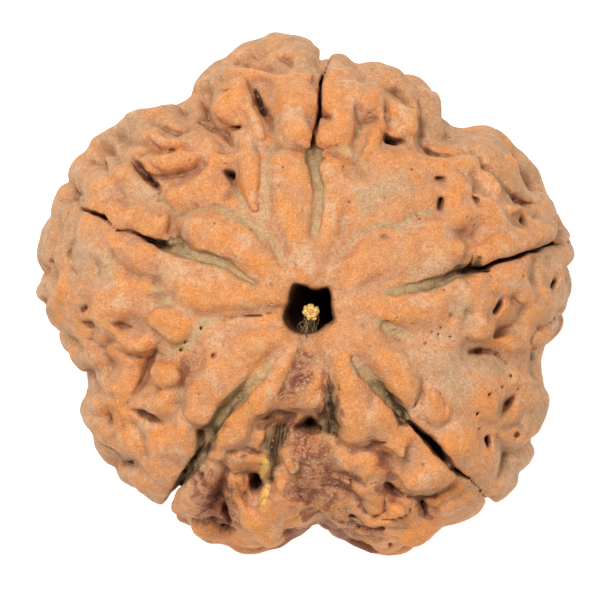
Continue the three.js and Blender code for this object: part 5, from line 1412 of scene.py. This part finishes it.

# %% [markdown]
# The eroded valley has lost its skin. Its crust is dark red-brown and crumbly. Purple-brown strokes
# run along its creases and round its holes, partly stain and partly painted shade, and under the
# lower edge of the stone, where they are painted shadow.

# %% Crust, stains and painted shade
CRUST = [
    [(-0.4, -5.6, 0.8), (0.3, -6.4, 0.9), (-0.4, -7.3, 0.9), (1.2, -7.5, 0.7), (0.8, -8.6, 0.7)],
    [(-3.5, -7.6, 0.4), (-3.3, -9.2, 0.5)],
    [(-0.3, -2.2, 0.5), (-0.6, -3.4, 0.5)], [(1.6, -9.1, 0.5), (3.0, -9.8, 0.4)],
    [(-4.7, -7.0, 0.4), (-4.3, -9.8, 0.5)],
]
STAIN_AND_SHADE_STROKES = [
    [(2.7, -5.8, 0.25), (3.2, -6.4, 0.35), (4.0, -7.0, 0.28)],
    [(0.7, -6.9, 0.15), (1.4, -7.05, 0.2), (2.1, -7.4, 0.2)],
    [(0.4, -7.5, 0.12), (1.2, -7.6, 0.2), (2.0, -8.0, 0.2), (2.4, -8.6, 0.15)],
    [(-0.4, -1.7, 0.2, 0.4), (-0.35, -2.4, 0.4, 0.55), (-0.9, -3.0, 0.35, 0.4)],
    [(0.4, -3.0, 0.18), (0.5, -3.8, 0.2), (0.5, -4.6, 0.3), (0.0, -5.1, 0.45)],
    [(1.35, -3.3, 0.1), (1.45, -4.2, 0.12), (1.35, -5.0, 0.12)],
    [(-2.1, -4.9, 0.2), (-1.5, -4.55, 0.22), (-0.8, -4.7, 0.28), (-0.7, -5.2, 0.25)],
    [(-3.7, -7.1, 0.2), (-4.0, -7.8, 0.35), (-4.2, -8.3, 0.4), (-3.7, -8.9, 0.3), (-3.6, -9.6, 0.25)],
    [(-5.45, -2.3, 0.2), (-5.5, -2.9, 0.22)], [(-4.97, -7.9, 0.1), (-5.0, -8.15, 0.1)],
    [(-4.6, -7.2, 0.22), (-4.3, -7.9, 0.25)], [(-0.9, -8.15, 0.15), (-0.3, -8.0, 0.2), (0.3, -8.0, 0.15)],
    [(-0.3, -8.75, 0.12), (0.1, -8.65, 0.18), (0.6, -8.6, 0.12)], [(4.9, -8.35, 0.15), (5.2, -9.0, 0.16)],
    [(3.4, -7.7, 0.2), (4.0, -8.1, 0.15)],
    [(-2.9, -6.25, 0.12), (-2.4, -6.2, 0.12)],
    # Painted shadow: a dark band under the lower edge of the stone, carried down the side.
    [(-1.6, -10.6, 0.25, 1.5), (-0.6, -10.1, 0.35, 2.0), (0.2, -9.65, 0.25, 2.0)],
    [(0.6, -9.6, 0.25, 2.0), (1.7, -10.1, 0.35, 2.0), (2.6, -10.45, 0.25, 1.5)],
    [(0.8, -8.8, 0.15, 0.8), (1.5, -9.2, 0.2, 0.8), (2.2, -9.4, 0.2, 0.8)],
]
print("crust", len(CRUST), "stains", len(STAIN_AND_SHADE_STROKES))

# %% [markdown]
# Dry olive fibre fills the open grooves, more of it the deeper they get: the fourth number of a
# point says how strong it is there, and it also darkens the fibre's streaks as painted shade towards
# the deep ends. Only two scraps of it are yellow, at the end of one groove.

# %% Dry grooves and flakes
DRY = [
    [(-1.25, -4.8, 0.25, 0.9), (-1.5, -5.4, 0.35, 1.0), (-1.65, -6.2, 0.3, 0.9), (-1.6, -7.1, 0.2, 0.7)],
    [(0.8, -3.1, 0.16, 0.7), (0.95, -4.2, 0.3, 1.0), (1.0, -5.2, 0.24, 1.0)],
    [(2.2, -2.6, 0.2, 0.15), (2.9, -3.25, 0.24, 0.55), (3.5, -3.85, 0.22, 0.9), (4.3, -4.7, 0.13, 1.0)],
    [(-2.4, -3.0, 0.24, 0.3), (-3.0, -3.75, 0.28, 0.6), (-3.9, -4.85, 0.28, 0.75), (-4.7, -6.1, 0.24, 0.8),
     (-5.6, -7.5, 0.2, 0.6)],
    [(3.4, -0.6, 0.16, 0.3), (4.1, -0.85, 0.2, 0.45), (4.5, -1.2, 0.12, 0.2)],
    [(4.2, 1.08, 0.18, 0.15), (5.4, 1.35, 0.2, 0.45), (6.6, 1.75, 0.2, 0.75), (7.4, 1.85, 0.15, 1.0)],
    [(-5.0, 2.4, 0.2, 0.1), (-5.8, 2.7, 0.2, 0.6), (-6.4, 2.95, 0.2, 1.0)],
    [(0.3, 5.0, 0.2, 0.05), (0.25, 6.4, 0.2, 0.25), (0.2, 7.2, 0.12, 0.7)],
    [(7.1, -1.9, 0.2, 0.5), (7.6, -1.85, 0.2, 0.5)],
]
FLAKES = [
    [(-1.88, -6.5, 0.18), (-1.98, -6.9, 0.2), (-2.17, -7.3, 0.12)],
    [(-1.78, -7.65, 0.12), (-1.9, -7.95, 0.17), (-2.05, -8.3, 0.15)],
]
MARKS = {
    "seam": SEAMS, "pale": PALE, "glow": GLOW, "crust": CRUST, "stain_and_shade": STAIN_AND_SHADE_STROKES, "dry": DRY, "flake": FLAKES,
}
FAR_AWAY = 9.0
MARKS_FADE_FROM = -4
MARKS_FADE_OVER = 2
print("marks of", len(MARKS), "kinds")

# %% [markdown]
# A mask takes, for every point of the mesh, the nearest stroke and lets the paint fall off like a
# bell curve over the stroke's half width.

# %% Soft brush and streaks
def line_mask(lines, places):
    best = np.zeros(len(places))
    for line in lines:
        line = [(*point, 1)[:4] for point in line]
        for (ax, ay, aw, a_full), (bx, by, bw, b_full) in zip(line, line[1:]):
            run = np.array([bx - ax, by - ay])
            away = places[:, :2] - (ax, ay)
            share = np.clip(away @ run / (run @ run), 0, 1)
            distance = np.linalg.norm(away - share[:, None] * run, axis=1)
            full = a_full + (b_full - a_full) * share
            best = np.maximum(best, full * np.exp(-((distance / (aw + (bw - aw) * share)) ** 2)))
    return best * np.clip((places[:, 2] - MARKS_FADE_FROM) / MARKS_FADE_OVER, 0, 1)


def streak_places(runs, places):
    near = np.full(len(places), FAR_AWAY)
    along, across = np.zeros(len(places)), np.zeros(len(places))
    for run in runs:
        walked = 0.0
        for (ax, ay, *_), (bx, by, *_) in zip(run, run[1:]):
            way = np.array([bx - ax, by - ay])
            length = float(np.hypot(*way))
            away = places[:, :2] - (ax, ay)
            share = np.clip(away @ way / length**2, 0, 1)
            distance = np.linalg.norm(away - share[:, None] * way, axis=1)
            closer = distance < near
            near = np.where(closer, distance, near)
            along = np.where(closer, walked + share * length, along)
            across = np.where(closer, (away[:, 0] * way[1] - away[:, 1] * way[0]) / length, across)
            walked += length
    return along, across


WAVES = ((0.7, 0.14), (0.3, 0.1))
WAVE_SEED = 51
wavy = points.copy()
for axis in (0, 1):
    for spacing, size in WAVES:
        wavy[:, axis] += read(soft_noise(spacing, WAVE_SEED + axis + int(spacing * 10)), points) * size
read_at = {"flake": points, "seam": (points + wavy) / 2}
for name, lines in MARKS.items():
    facts[name] = line_mask(lines, read_at.get(name, wavy))
facts["along"], facts["across"] = streak_places(GROOVES, points)

# The bore mask says where the bore's wall is painted nearly black: painted shade.
BORE_DARK_OVER = 0.3
BORE_DARK_ENDS = 9.6
wall = np.full(FIELD.shape, FAR_AWAY, dtype=np.float32)
wall[BORE_BLOCK] = BORE_WALL
facts["bore"] = np.clip(0.5 - read(wall, points) / BORE_DARK_OVER, 0, 1) * (np.abs(points[:, 2]) < BORE_DARK_ENDS)
print("seam points", int((facts["seam"] > 0.5).sum()), "stained", int((facts["stain_and_shade"] > 0.5).sum()))

# %% [markdown]
# ## The stone takes its place
#
# The mesh goes into the part's frame. Its lowest crests are worn flat on z = 0, where the stone
# stands. It rides on the part's only body and replaces the plain solid of the part, so the two
# never show together.

# %% The stone as a piece of the part
points[:, 2] = np.maximum(points[:, 2], -PLAN_ZERO[2])
stone = mesh_object("rudraksha_stone", in_frame(points), faces)


def store_fact(piece, name, values):
    layer = piece.data.attributes.new(name, "FLOAT", "POINT")
    layer.data.foreach_set("value", values.astype(np.float32))


for name, values in facts.items():
    store_fact(stone, name, values)
stone.data.polygons.foreach_set("use_smooth", np.ones(len(stone.data.polygons), dtype=bool))
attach(stone, "root")
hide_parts("seed_stone")
print("stone", len(stone.data.polygons), "triangles")

# %% [markdown]
# ## The finish of the stone
#
# The shell is dry wood: orange-brown on the rubbed crests, pinkish and dusty on the slopes, khaki
# in the furrows, with painted shade in low hollows and painted shade in the cuts, from warm brown to
# nearly black. A photograph laid over the shape would show those colours from one side only. Nodes
# that mix them by the stored attributes work all round, at any size. A tree of some 160 nodes is slow
# to wire by hand, so a few helpers stand for the nodes that come back often: each makes one node,
# links what it is given, and returns the socket to go on from.

# %% Node helpers
def new_material(name):
    material = bpy.data.materials.new(name)
    material.use_nodes = True
    tree = material.node_tree
    return material, tree, tree.nodes["Principled BSDF"]


def socket_value(tree, target, value):
    if isinstance(value, bpy.types.NodeSocket):
        tree.links.new(value, target)
    else:
        target.default_value = value


def fact(tree, name):
    node = tree.nodes.new("ShaderNodeAttribute")
    node.attribute_name = name
    return node.outputs["Fac"]


def maths(tree, kind, a, b=0.0):
    node = tree.nodes.new("ShaderNodeMath")
    node.operation = kind
    socket_value(tree, node.inputs[0], a)
    socket_value(tree, node.inputs[1], b)
    return node.outputs[0]


def span(tree, value, low, high, to_low=0.0, to_high=1.0):
    node = tree.nodes.new("ShaderNodeMapRange")
    node.interpolation_type = "SMOOTHSTEP"
    for socket, number in zip(node.inputs[1:5], (low, high, to_low, to_high)):
        socket.default_value = number
    socket_value(tree, node.inputs[0], value)
    return node.outputs[0]


def blend_colour(tree, share, under, over, kind="MIX"):
    node = tree.nodes.new("ShaderNodeMix")
    node.data_type = "RGBA"
    node.blend_type = kind
    socket_value(tree, node.inputs[0], share)
    socket_value(tree, node.inputs[6], under)
    socket_value(tree, node.inputs[7], over)
    return node.outputs[2]


print("value and colour helpers ready")

# %% [markdown]
# Textures are measured in millimetres here: Blender's scale is one over the size of a blotch, and
# the helpers turn one into the other. They take world positions. The stone doesn't move, and so
# the grain keeps its true size on every side, which a mapping by the object's box wouldn't give.

# %% Textures in millimetres
def noise(tree, size_mm, detail=3.0, roughness=0.55):
    place = tree.nodes.new("ShaderNodeNewGeometry").outputs["Position"]
    node = tree.nodes.new("ShaderNodeTexNoise")
    node.inputs["Scale"].default_value = 1 / (size_mm * MM)
    node.inputs["Detail"].default_value = detail
    node.inputs["Roughness"].default_value = roughness
    tree.links.new(place, node.inputs["Vector"])
    return node.outputs["Fac"]


def pits(tree, size_mm):
    place = tree.nodes.new("ShaderNodeNewGeometry").outputs["Position"]
    node = tree.nodes.new("ShaderNodeTexVoronoi")
    node.inputs["Scale"].default_value = 1 / (size_mm * MM)
    tree.links.new(place, node.inputs["Vector"])
    return node.outputs["Distance"]


def streaks(tree, long_mm, wide_mm):
    place = tree.nodes.new("ShaderNodeCombineXYZ")
    for socket, name, size in zip(place.inputs, ("along", "across"), (long_mm, wide_mm)):
        tree.links.new(maths(tree, "DIVIDE", fact(tree, name), size), socket)
    node = tree.nodes.new("ShaderNodeTexNoise")
    node.inputs["Scale"].default_value = 1
    node.inputs["Detail"].default_value = 4
    tree.links.new(place.outputs[0], node.inputs["Vector"])
    return node.outputs["Fac"]


print("node helpers ready")

# %% [markdown]
# ## The palette
#
# All colours of the shell in one place, from the crests down to the cuts. Most are the colours of
# the substance itself, a little darker and richer than what the photograph shows, because the
# light of the studio and the grain brighten them again. Some are painted shade, in part or whole:
# the tan of the sides and the khaki of low hollows in part, the stain strokes and dark fibre streaks
# in part, and the warm brown and near black of the cuts and the bore wholly.

# %% Palette of the shell
ORANGE = (0.74, 0.282, 0.078, 1)
CREST = (0.68, 0.295, 0.115, 1)
SLOPE = (0.59, 0.295, 0.155, 1)
# Tan of the sides, partly painted shade of the steep sides.
SIDE_TAN_AND_SHADE = (0.50, 0.29, 0.155, 1)
BEIGE = (0.66, 0.39, 0.22, 1)
# Khaki of the furrow floor, used also as painted shade in low hollows.
FURROW_KHAKI_AND_SHADE = (0.38, 0.26, 0.13, 1)
SEAM = (0.52, 0.36, 0.185, 1)
GROOVE = (0.36, 0.235, 0.115, 1)
PALE_ROSE = (0.55, 0.35, 0.205, 1)
CRUSTY = (0.30, 0.108, 0.06, 1)
# Purple-brown of the stain strokes: partly stain, partly painted shade and painted shadow.
STAIN_AND_SHADE = (0.18, 0.05, 0.036, 1)
OLIVE = (0.22, 0.14, 0.065, 1)
# Near black of the fibre streaks, also painted shade towards the deep ends of the grooves.
DARK_STREAK_AND_SHADE = (0.045, 0.022, 0.012, 1)
FLAKE = (0.78, 0.50, 0.14, 1)
# Painted shade: near black in deep cuts and the bore.
DEEP_SHADE = (0.03, 0.012, 0.007, 1)
# Painted shade: warm brown in the cuts.
WARM_CUT_SHADE = (0.34, 0.13, 0.065, 1)
FLECK = (0.92, 0.66, 0.42, 1)
FRECKLE = (0.22, 0.08, 0.03, 1)
SPECKLE = (0.18, 0.29, 0.42)
print("browns and oranges for the shell are set")

# %% [markdown]
# ## Crests, slopes and sides
#
# A border between two colours is never a clean line on a grown thing. So an attribute is never used
# bare: noise is added to it before it is turned into a share. Four sizes of noise are enough, from
# 3.5 mm for whole patches to 0.09 mm for the grain. On top of crest and slope come rubbed orange
# patches and dusty beige ones. Lower down the sides the orange thins and a tan veil comes in: partly
# the tan of the sides, partly painted shade of the steep sides. Low hollows get a darker khaki,
# partly the colour of the furrow floor and partly painted shade.

# %% Body colours of the shell
NOISE_SIZES = (3.5, 1.1, 0.4, 0.09)


def times(tree, a, b):
    return maths(tree, "MULTIPLY", a, b)


def centred(tree, value, size):
    return times(tree, maths(tree, "SUBTRACT", value, 0.5), size)


def roughened(tree, value, by, size):
    return maths(tree, "ADD", value, centred(tree, by, size))


shell, tree, surface = new_material("seed_shell")
broad, middling, small, fine = (noise(tree, size, 4.0, 0.6) for size in NOISE_SIZES)
crest = roughened(tree, fact(tree, "crest"), middling, 1.8)
rim = roughened(tree, fact(tree, "rim"), broad, 1.0)
colour = blend_colour(tree, span(tree, crest, -0.5, 0.5), SLOPE, CREST)
rubbed = span(tree, roughened(tree, middling, small, 0.6), 0.48, 0.7)
rubbed = times(tree, rubbed, span(tree, crest, -0.4, 0.6))
colour = blend_colour(tree, times(tree, rubbed, span(tree, rim, 0.3, 1.0, 0.8, 0.35)), colour, ORANGE)
dust = span(tree, roughened(tree, noise(tree, 2.1, 5.0, 0.65), small, 0.4), 0.5, 0.66)
colour = blend_colour(tree, times(tree, dust, 0.75), colour, BEIGE)
# Tan veil on the sides, with less rubbed orange there: partly their tan colour, partly painted shade of the steep
# sides.
tan_and_side_shade = span(tree, roughened(tree, middling, small, 0.5), 0.38, 0.62, 0.95, 0.35)
colour = blend_colour(tree, times(tree, span(tree, rim, 0.1, 0.9), tan_and_side_shade), colour, SIDE_TAN_AND_SHADE)
# Painted shade: low concave hollows turn a darker khaki.
hollow_khaki_and_shade = times(tree, span(tree, fact(tree, "height"), 0.3, 0.0), span(tree, crest, 0.3, -0.6))
colour = blend_colour(tree, times(tree, hollow_khaki_and_shade, 0.3), colour, FURROW_KHAKI_AND_SHADE)
print("body colours mixed,", len(tree.nodes), "nodes so far")

# %% [markdown]
# ## Crust, seams, stains and painted shade
#
# The strokes are laid over the body colours in the order in which the stone got them: dust and
# crust first, then the rubbed spots, the grooves and seams, the stains, and last the dry olive
# fibre in the grooves. The stain strokes are partly painted shade along the creases and painted
# shadow under the lower edge, and the fibre's dark streaks grow into painted shade towards the deep
# ends of the grooves. The fibre is streaked by the two groove coordinates. Two spans of the same
# attribute, how deep a point is sunk in a cut, paint shade into the cuts: warm brown and then
# nearly black.

# %% Marks on the shell
pale = span(tree, roughened(tree, fact(tree, "pale"), middling, 0.8), 0.1, 1.1)
colour = blend_colour(tree, times(tree, pale, 0.8), colour, PALE_ROSE)
crumbly = roughened(tree, noise(tree, 0.55, 5.0, 0.75), small, 0.7)
crust = times(tree, span(tree, fact(tree, "crust"), 0.2, 0.8), span(tree, crumbly, 0.4, 0.62, 0.15, 0.95))
colour = blend_colour(tree, crust, colour, CRUSTY)
glow = span(tree, roughened(tree, fact(tree, "glow"), small, 0.7), 0.2, 0.9)
colour = blend_colour(tree, times(tree, glow, 0.6), colour, ORANGE)
groove = span(tree, roughened(tree, fact(tree, "groove"), small, 0.3), 0.06, 0.32, 0.0, 0.95)
colour = blend_colour(tree, groove, colour, GROOVE)
seam = span(tree, roughened(tree, fact(tree, "seam"), crumbly, 1.1), 0.15, 1.0)
seam = times(tree, seam, span(tree, fact(tree, "groove"), 0.1, 0.4, 0.8, 0.55))
colour = blend_colour(tree, seam, colour, SEAM)
# Painted shade: cuts turn warm brown as they get deeper.
colour = blend_colour(tree, span(tree, fact(tree, "sunk"), 0.05, 0.5, 0.0, 0.7), colour, WARM_CUT_SHADE)
# Stain strokes: partly stain, partly painted shade along creases and painted shadow under the lower edge.
stain_and_shade = span(tree, roughened(tree, fact(tree, "stain_and_shade"), crumbly, 2.2), 0.15, 1.0)
colour = blend_colour(tree, times(tree, stain_and_shade, 0.72), colour, STAIN_AND_SHADE)
fibrous = streaks(tree, 0.9, 0.09)
dry = span(tree, roughened(tree, fact(tree, "dry"), crumbly, 0.7), 0.1, 0.9)
# Painted shade: the fibre's dark streaks grow with the groove's strength towards its deep end.
streaks_and_deep_shade = maths(tree, "ADD", fibrous, times(tree, fact(tree, "dry"), 0.2))
olive = blend_colour(tree, span(tree, streaks_and_deep_shade, 0.5, 0.72), OLIVE, DARK_STREAK_AND_SHADE)
colour = blend_colour(tree, times(tree, dry, 0.92), colour, olive)
colour = blend_colour(tree, span(tree, fact(tree, "flake"), 0.3, 0.7), colour, FLAKE)
print("marks laid over them,", len(tree.nodes), "nodes so far")

# %% [markdown]
# ## Flecks, freckles and grain
#
# The smallest things are dots. A Voronoi texture gives the distance to scattered points, and a
# narrow span of it leaves a dot at each. After the dots the cuts and the bore are painted nearly
# black, as painted shade. The last step multiplies everything by a fine speckle, stronger in blue
# than in red, which gives the sandy look of the real surface: its light grains are paler, not only
# brighter.

# %% Grain of the shell
colour = blend_colour(tree, times(tree, span(tree, pits(tree, 0.3), 0.2, 0.05), 0.3), colour, FLECK)
pale_bits = span(tree, noise(tree, 0.17, 4.0, 0.6), 0.54, 0.64)
pale_bits = times(tree, pale_bits, span(tree, fact(tree, "crust"), 0.1, 0.7, 0.0, 0.7))
colour = blend_colour(tree, pale_bits, colour, BEIGE)
colour = blend_colour(tree, times(tree, span(tree, pits(tree, 1.3), 0.075, 0.045), 0.7), colour, FRECKLE)
# Painted shade: deep cuts and the bore go nearly black.
colour = blend_colour(tree, span(tree, fact(tree, "sunk"), 0.6, 1.5), colour, DEEP_SHADE)
colour = blend_colour(tree, fact(tree, "bore"), colour, DEEP_SHADE)
shade = tree.nodes.new("ShaderNodeCombineColor")
speckle = maths(tree, "ADD", centred(tree, fine, 1.0), centred(tree, small, 0.55))
for channel, size in zip(shade.inputs, SPECKLE):
    tree.links.new(span(tree, speckle, -0.3, 0.3, 1 - size, 1 + size), channel)
colour = blend_colour(tree, 1.0, colour, shade.outputs[0], "MULTIPLY")
tree.links.new(colour, surface.inputs["Base Color"])
print("grain multiplied in,", len(tree.nodes), "nodes so far")

# %% [markdown]
# ## Gloss and relief
#
# Dry wood hardly shines, so the specular level is low and only the crests are a little smoother.
# A trace of subsurface light softens the thin edges. Grain, crust and fibre finer than the mesh can
# hold go into a Bump node. It only bends the shading: every shape that shows in the outline or
# throws a shadow is in the mesh.

# %% Relief of the shell
RELIEF_DISTANCE = 0.0001
tree.links.new(span(tree, crest, -0.6, 0.8, 0.75, 0.5), surface.inputs["Roughness"])
surface.inputs["Specular IOR Level"].default_value = 0.06
surface.inputs["Subsurface Weight"].default_value = 0.1
surface.inputs["Subsurface Radius"].default_value = (1.0, 0.35, 0.15)
surface.inputs["Subsurface Scale"].default_value = 0.0005

grain = maths(tree, "ADD", small, times(tree, fine, 0.5))
grain = maths(tree, "ADD", grain, times(tree, times(tree, fact(tree, "crust"), crumbly), 2.5))
grain = maths(tree, "ADD", grain, times(tree, times(tree, dry, fibrous), 3.0))
holes = span(tree, pits(tree, 0.9), 0.0, 0.13, -1.0, 0.0)
relief = tree.nodes.new("ShaderNodeBump")
relief.inputs["Strength"].default_value = 0.8
relief.inputs["Distance"].default_value = RELIEF_DISTANCE
tree.links.new(maths(tree, "ADD", grain, holes), relief.inputs["Height"])
tree.links.new(relief.outputs[0], surface.inputs["Normal"])
stone.data.materials.append(shell)
print("shell nodes", len(tree.nodes))

# %% [markdown]
# ## The crumb of pith
#
# In the upper mouth of the pore sits what is left of the core: a pale yellow crumb on a tuft of dark
# fibres that still holds on to the wall. An icosphere with noise would look like a pebble. Real
# crumb is a heap of grains, so here ninety small balls sit round a core. They are joined in a
# distance field of their own, with a plain minimum, which keeps the seams between the grains sharp.

# %% Crumb
CRUMB_PLACE = Vector((0.1, -0.02, 9.0))
CRUMB_HALF = np.array([0.3, 0.34, 0.26])
CRUMB_ROOM = 0.55
CORE_SHAPE = (0.8, 0.95, 0.8)
CORE_RADIUS = 0.24
GRAINS = 90
GRAIN_SIZES = (0.05, 0.12)
GRAIN_REACH = (0.55, 1.0)
GRAIN_STEP = 0.02
draws = np.random.default_rng(77)


def crumb_mesh():
    ticks = [np.arange(-CRUMB_ROOM, CRUMB_ROOM, GRAIN_STEP) for _ in range(3)]
    x, y, z = np.meshgrid(*ticks, indexing="ij", sparse=True)
    field = np.sqrt(sum((places / half) ** 2 for places, half in zip((x, y, z), CORE_SHAPE))) - CORE_RADIUS
    ways = draws.normal(size=(GRAINS, 3))
    ways /= np.linalg.norm(ways, axis=1)[:, None]
    for way in ways:
        spot = way * CRUMB_HALF * draws.uniform(*GRAIN_REACH)
        away = np.sqrt((x - spot[0]) ** 2 + (y - spot[1]) ** 2 + (z - spot[2]) ** 2)
        field = np.minimum(field, away - draws.uniform(*GRAIN_SIZES))
    grid = openvdb.FloatGrid(1.0)
    grid.copyFromArray(np.ascontiguousarray(field, dtype=np.float32))
    places, _, quads = grid.convertToPolygons(isovalue=0.0, adaptivity=0.0)
    quads = quads.astype(np.int32)
    triangles = np.concatenate([quads[:, [0, 1, 2]], quads[:, [0, 2, 3]]])
    return places * GRAIN_STEP - CRUMB_ROOM + np.array(CRUMB_PLACE), triangles


pieces = [crumb_mesh()]
print("crumb", len(pieces[0][1]), "triangles")

# %% [markdown]
# ## The tuft
#
# Each fibre is a thin tapered tube along a curve with one bend, made ring by ring. Blender's hair
# curves would be quicker, but they are no mesh, and this part is also handed on as one. The fibres
# start close together at the wall and spread under the crumb. Three tones keep them apart.

# %% Fibres
TUFT_WALL = Vector((-0.1, -1.02, 8.7))
FIBRES = 44
FIBRE_RINGS = 10
FIBRE_SIDES = 6
FIBRE_TAPER = 0.6
FIBRE_HALF_WIDTH = 0.014
FIBRE_HALF_STRAY = 0.01
FIBRE_TONES = (1.0, 0.8, 0.6)
START_STRAY = np.array([0.17, 0.08, 0.12])
END_STRAY = np.array([0.2, 0.14, 0.1])
END_SHIFT = np.array([0, -0.3, -0.08])
BEND_STRAY = np.array([0.36, 0.2, 0.12])
BEND_SHIFT = np.array([0, 0, -0.02])


def fibre(start, middle, end, thick):
    places, faces = [], []
    for i in range(FIBRE_RINGS):
        t = i / (FIBRE_RINGS - 1)
        at = start * (1 - t) ** 2 + middle * (2 * t * (1 - t)) + end * t**2
        way = ((middle - start) * (1 - t) + (end - middle) * t).normalized()
        side = way.cross(Vector((0, 0, 1))).normalized()
        lift = side.cross(way)
        half = thick * (1 - FIBRE_TAPER * t)
        for k in range(FIBRE_SIDES):
            turn = 2 * math.pi * k / FIBRE_SIDES
            places.append(at + side * (half * math.cos(turn)) + lift * (half * math.sin(turn)))
    for i in range(FIBRE_RINGS - 1):
        for k in range(FIBRE_SIDES):
            a, b = i * FIBRE_SIDES + k, i * FIBRE_SIDES + (k + 1) % FIBRE_SIDES
            faces += [(a, b, b + FIBRE_SIDES), (a, b + FIBRE_SIDES, a + FIBRE_SIDES)]
    last = (FIBRE_RINGS - 1) * FIBRE_SIDES
    for k in range(1, FIBRE_SIDES - 1):
        faces += [(0, k + 1, k), (last, last + k, last + k + 1)]
    return np.array(places), np.array(faces)


for _ in range(FIBRES):
    a, b, c = draws.normal(size=3), draws.normal(size=3), draws.normal(size=3)
    start = TUFT_WALL + Vector(a * START_STRAY)
    end = CRUMB_PLACE + Vector(b * END_STRAY + END_SHIFT)
    bend = (start + end) / 2 + Vector(c * BEND_STRAY + BEND_SHIFT)
    pieces.append(fibre(start, bend, end, FIBRE_HALF_WIDTH + FIBRE_HALF_STRAY * draws.random()))
print("fibres", len(pieces) - 1)

# %% [markdown]
# Crumb and tuft are one thing that came off the same core, so they become one piece, which takes
# the place of the part's plain remnant. An attribute tells the material which points are fibre.

# %% The remnant as a piece of the part
offset, all_points, all_faces, tone = 0, [], [], []
for number, (places, triangles) in enumerate(pieces):
    all_points.append(np.asarray(places))
    all_faces.append(np.asarray(triangles) + offset)
    tone.append(np.full(len(places), FIBRE_TONES[number % 3] if number else 0.0))
    offset += len(places)
remnant = mesh_object("core_crumb", in_frame(np.concatenate(all_points)), np.concatenate(all_faces))
store_fact(remnant, "fibre", np.concatenate(tone))
remnant.data.polygons.foreach_set("use_smooth", np.ones(len(remnant.data.polygons), dtype=bool))
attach(remnant, "root")
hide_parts("core_remnant")

PITH_PALE = (0.88, 0.62, 0.22, 1)
PITH_BROWN = (0.62, 0.32, 0.06, 1)
FIBRE_DARK = (0.05, 0.022, 0.022, 1)
pith, tree, surface = new_material("core_pith")
crumb_colour = blend_colour(tree, span(tree, noise(tree, 0.1), 0.4, 0.6), PITH_PALE, PITH_BROWN)
pith_colour = blend_colour(tree, fact(tree, "fibre"), crumb_colour, FIBRE_DARK)
tree.links.new(pith_colour, surface.inputs["Base Color"])
surface.inputs["Roughness"].default_value = 0.75
remnant.data.materials.append(pith)
print("crumb and fibres", len(remnant.data.polygons), "triangles")

# %% [markdown]
# ## Stage
#
# A plain pale floor and soft studio light. The photograph is lit evenly, a little stronger from its
# upper left, and the ground behind the seed is pure white, so the floor glows a little by itself.
# A sun lamp would draw hard shadows into every pit. Two round area lamps and a bright sky leave
# only soft ones: the key lamp models the knobs, the fill keeps their far sides readable.

# %% Floor, sky and lamps
FLOOR_HALF = 0.6
SKY_STRENGTH = 0.25
AIM = Vector((0, 0, 0.01))
corners = np.array([(-1, -1, 0), (1, -1, 0), (1, 1, 0), (-1, 1, 0)]) * FLOOR_HALF
floor = mesh_object("stage_floor", corners, np.array([(0, 1, 2), (0, 2, 3)]))
white, tree, surface = new_material("stage_floor")
surface.inputs["Base Color"].default_value = (0.9, 0.9, 0.9, 1)
surface.inputs["Roughness"].default_value = 0.9
surface.inputs["Emission Color"].default_value = (1, 1, 1, 1)
surface.inputs["Emission Strength"].default_value = 0.7
floor.data.materials.append(white)

world = bpy.data.worlds.new("studio")
world.use_nodes = True
world.node_tree.nodes["Background"].inputs["Color"].default_value = (1, 1, 1, 1)
world.node_tree.nodes["Background"].inputs["Strength"].default_value = SKY_STRENGTH
scene.world = world


def lamp(name, place, size, watts):
    data = bpy.data.lights.new(name, "AREA")
    data.shape = "DISK"
    data.size = size
    data.energy = watts
    made = bpy.data.objects.new(name, data)
    made.location = place
    made.rotation_euler = (AIM - Vector(place)).to_track_quat("-Z", "Y").to_euler()
    made.visible_camera = False
    scene.collection.objects.link(made)


lamp("key", (-0.08, 0.10, 0.40), 0.15, 1.6)
lamp("fill", (0.26, -0.14, 0.32), 0.30, 0.35)
scene.view_settings.view_transform = "Standard"
scene.view_settings.look = "None"
print("stage set")
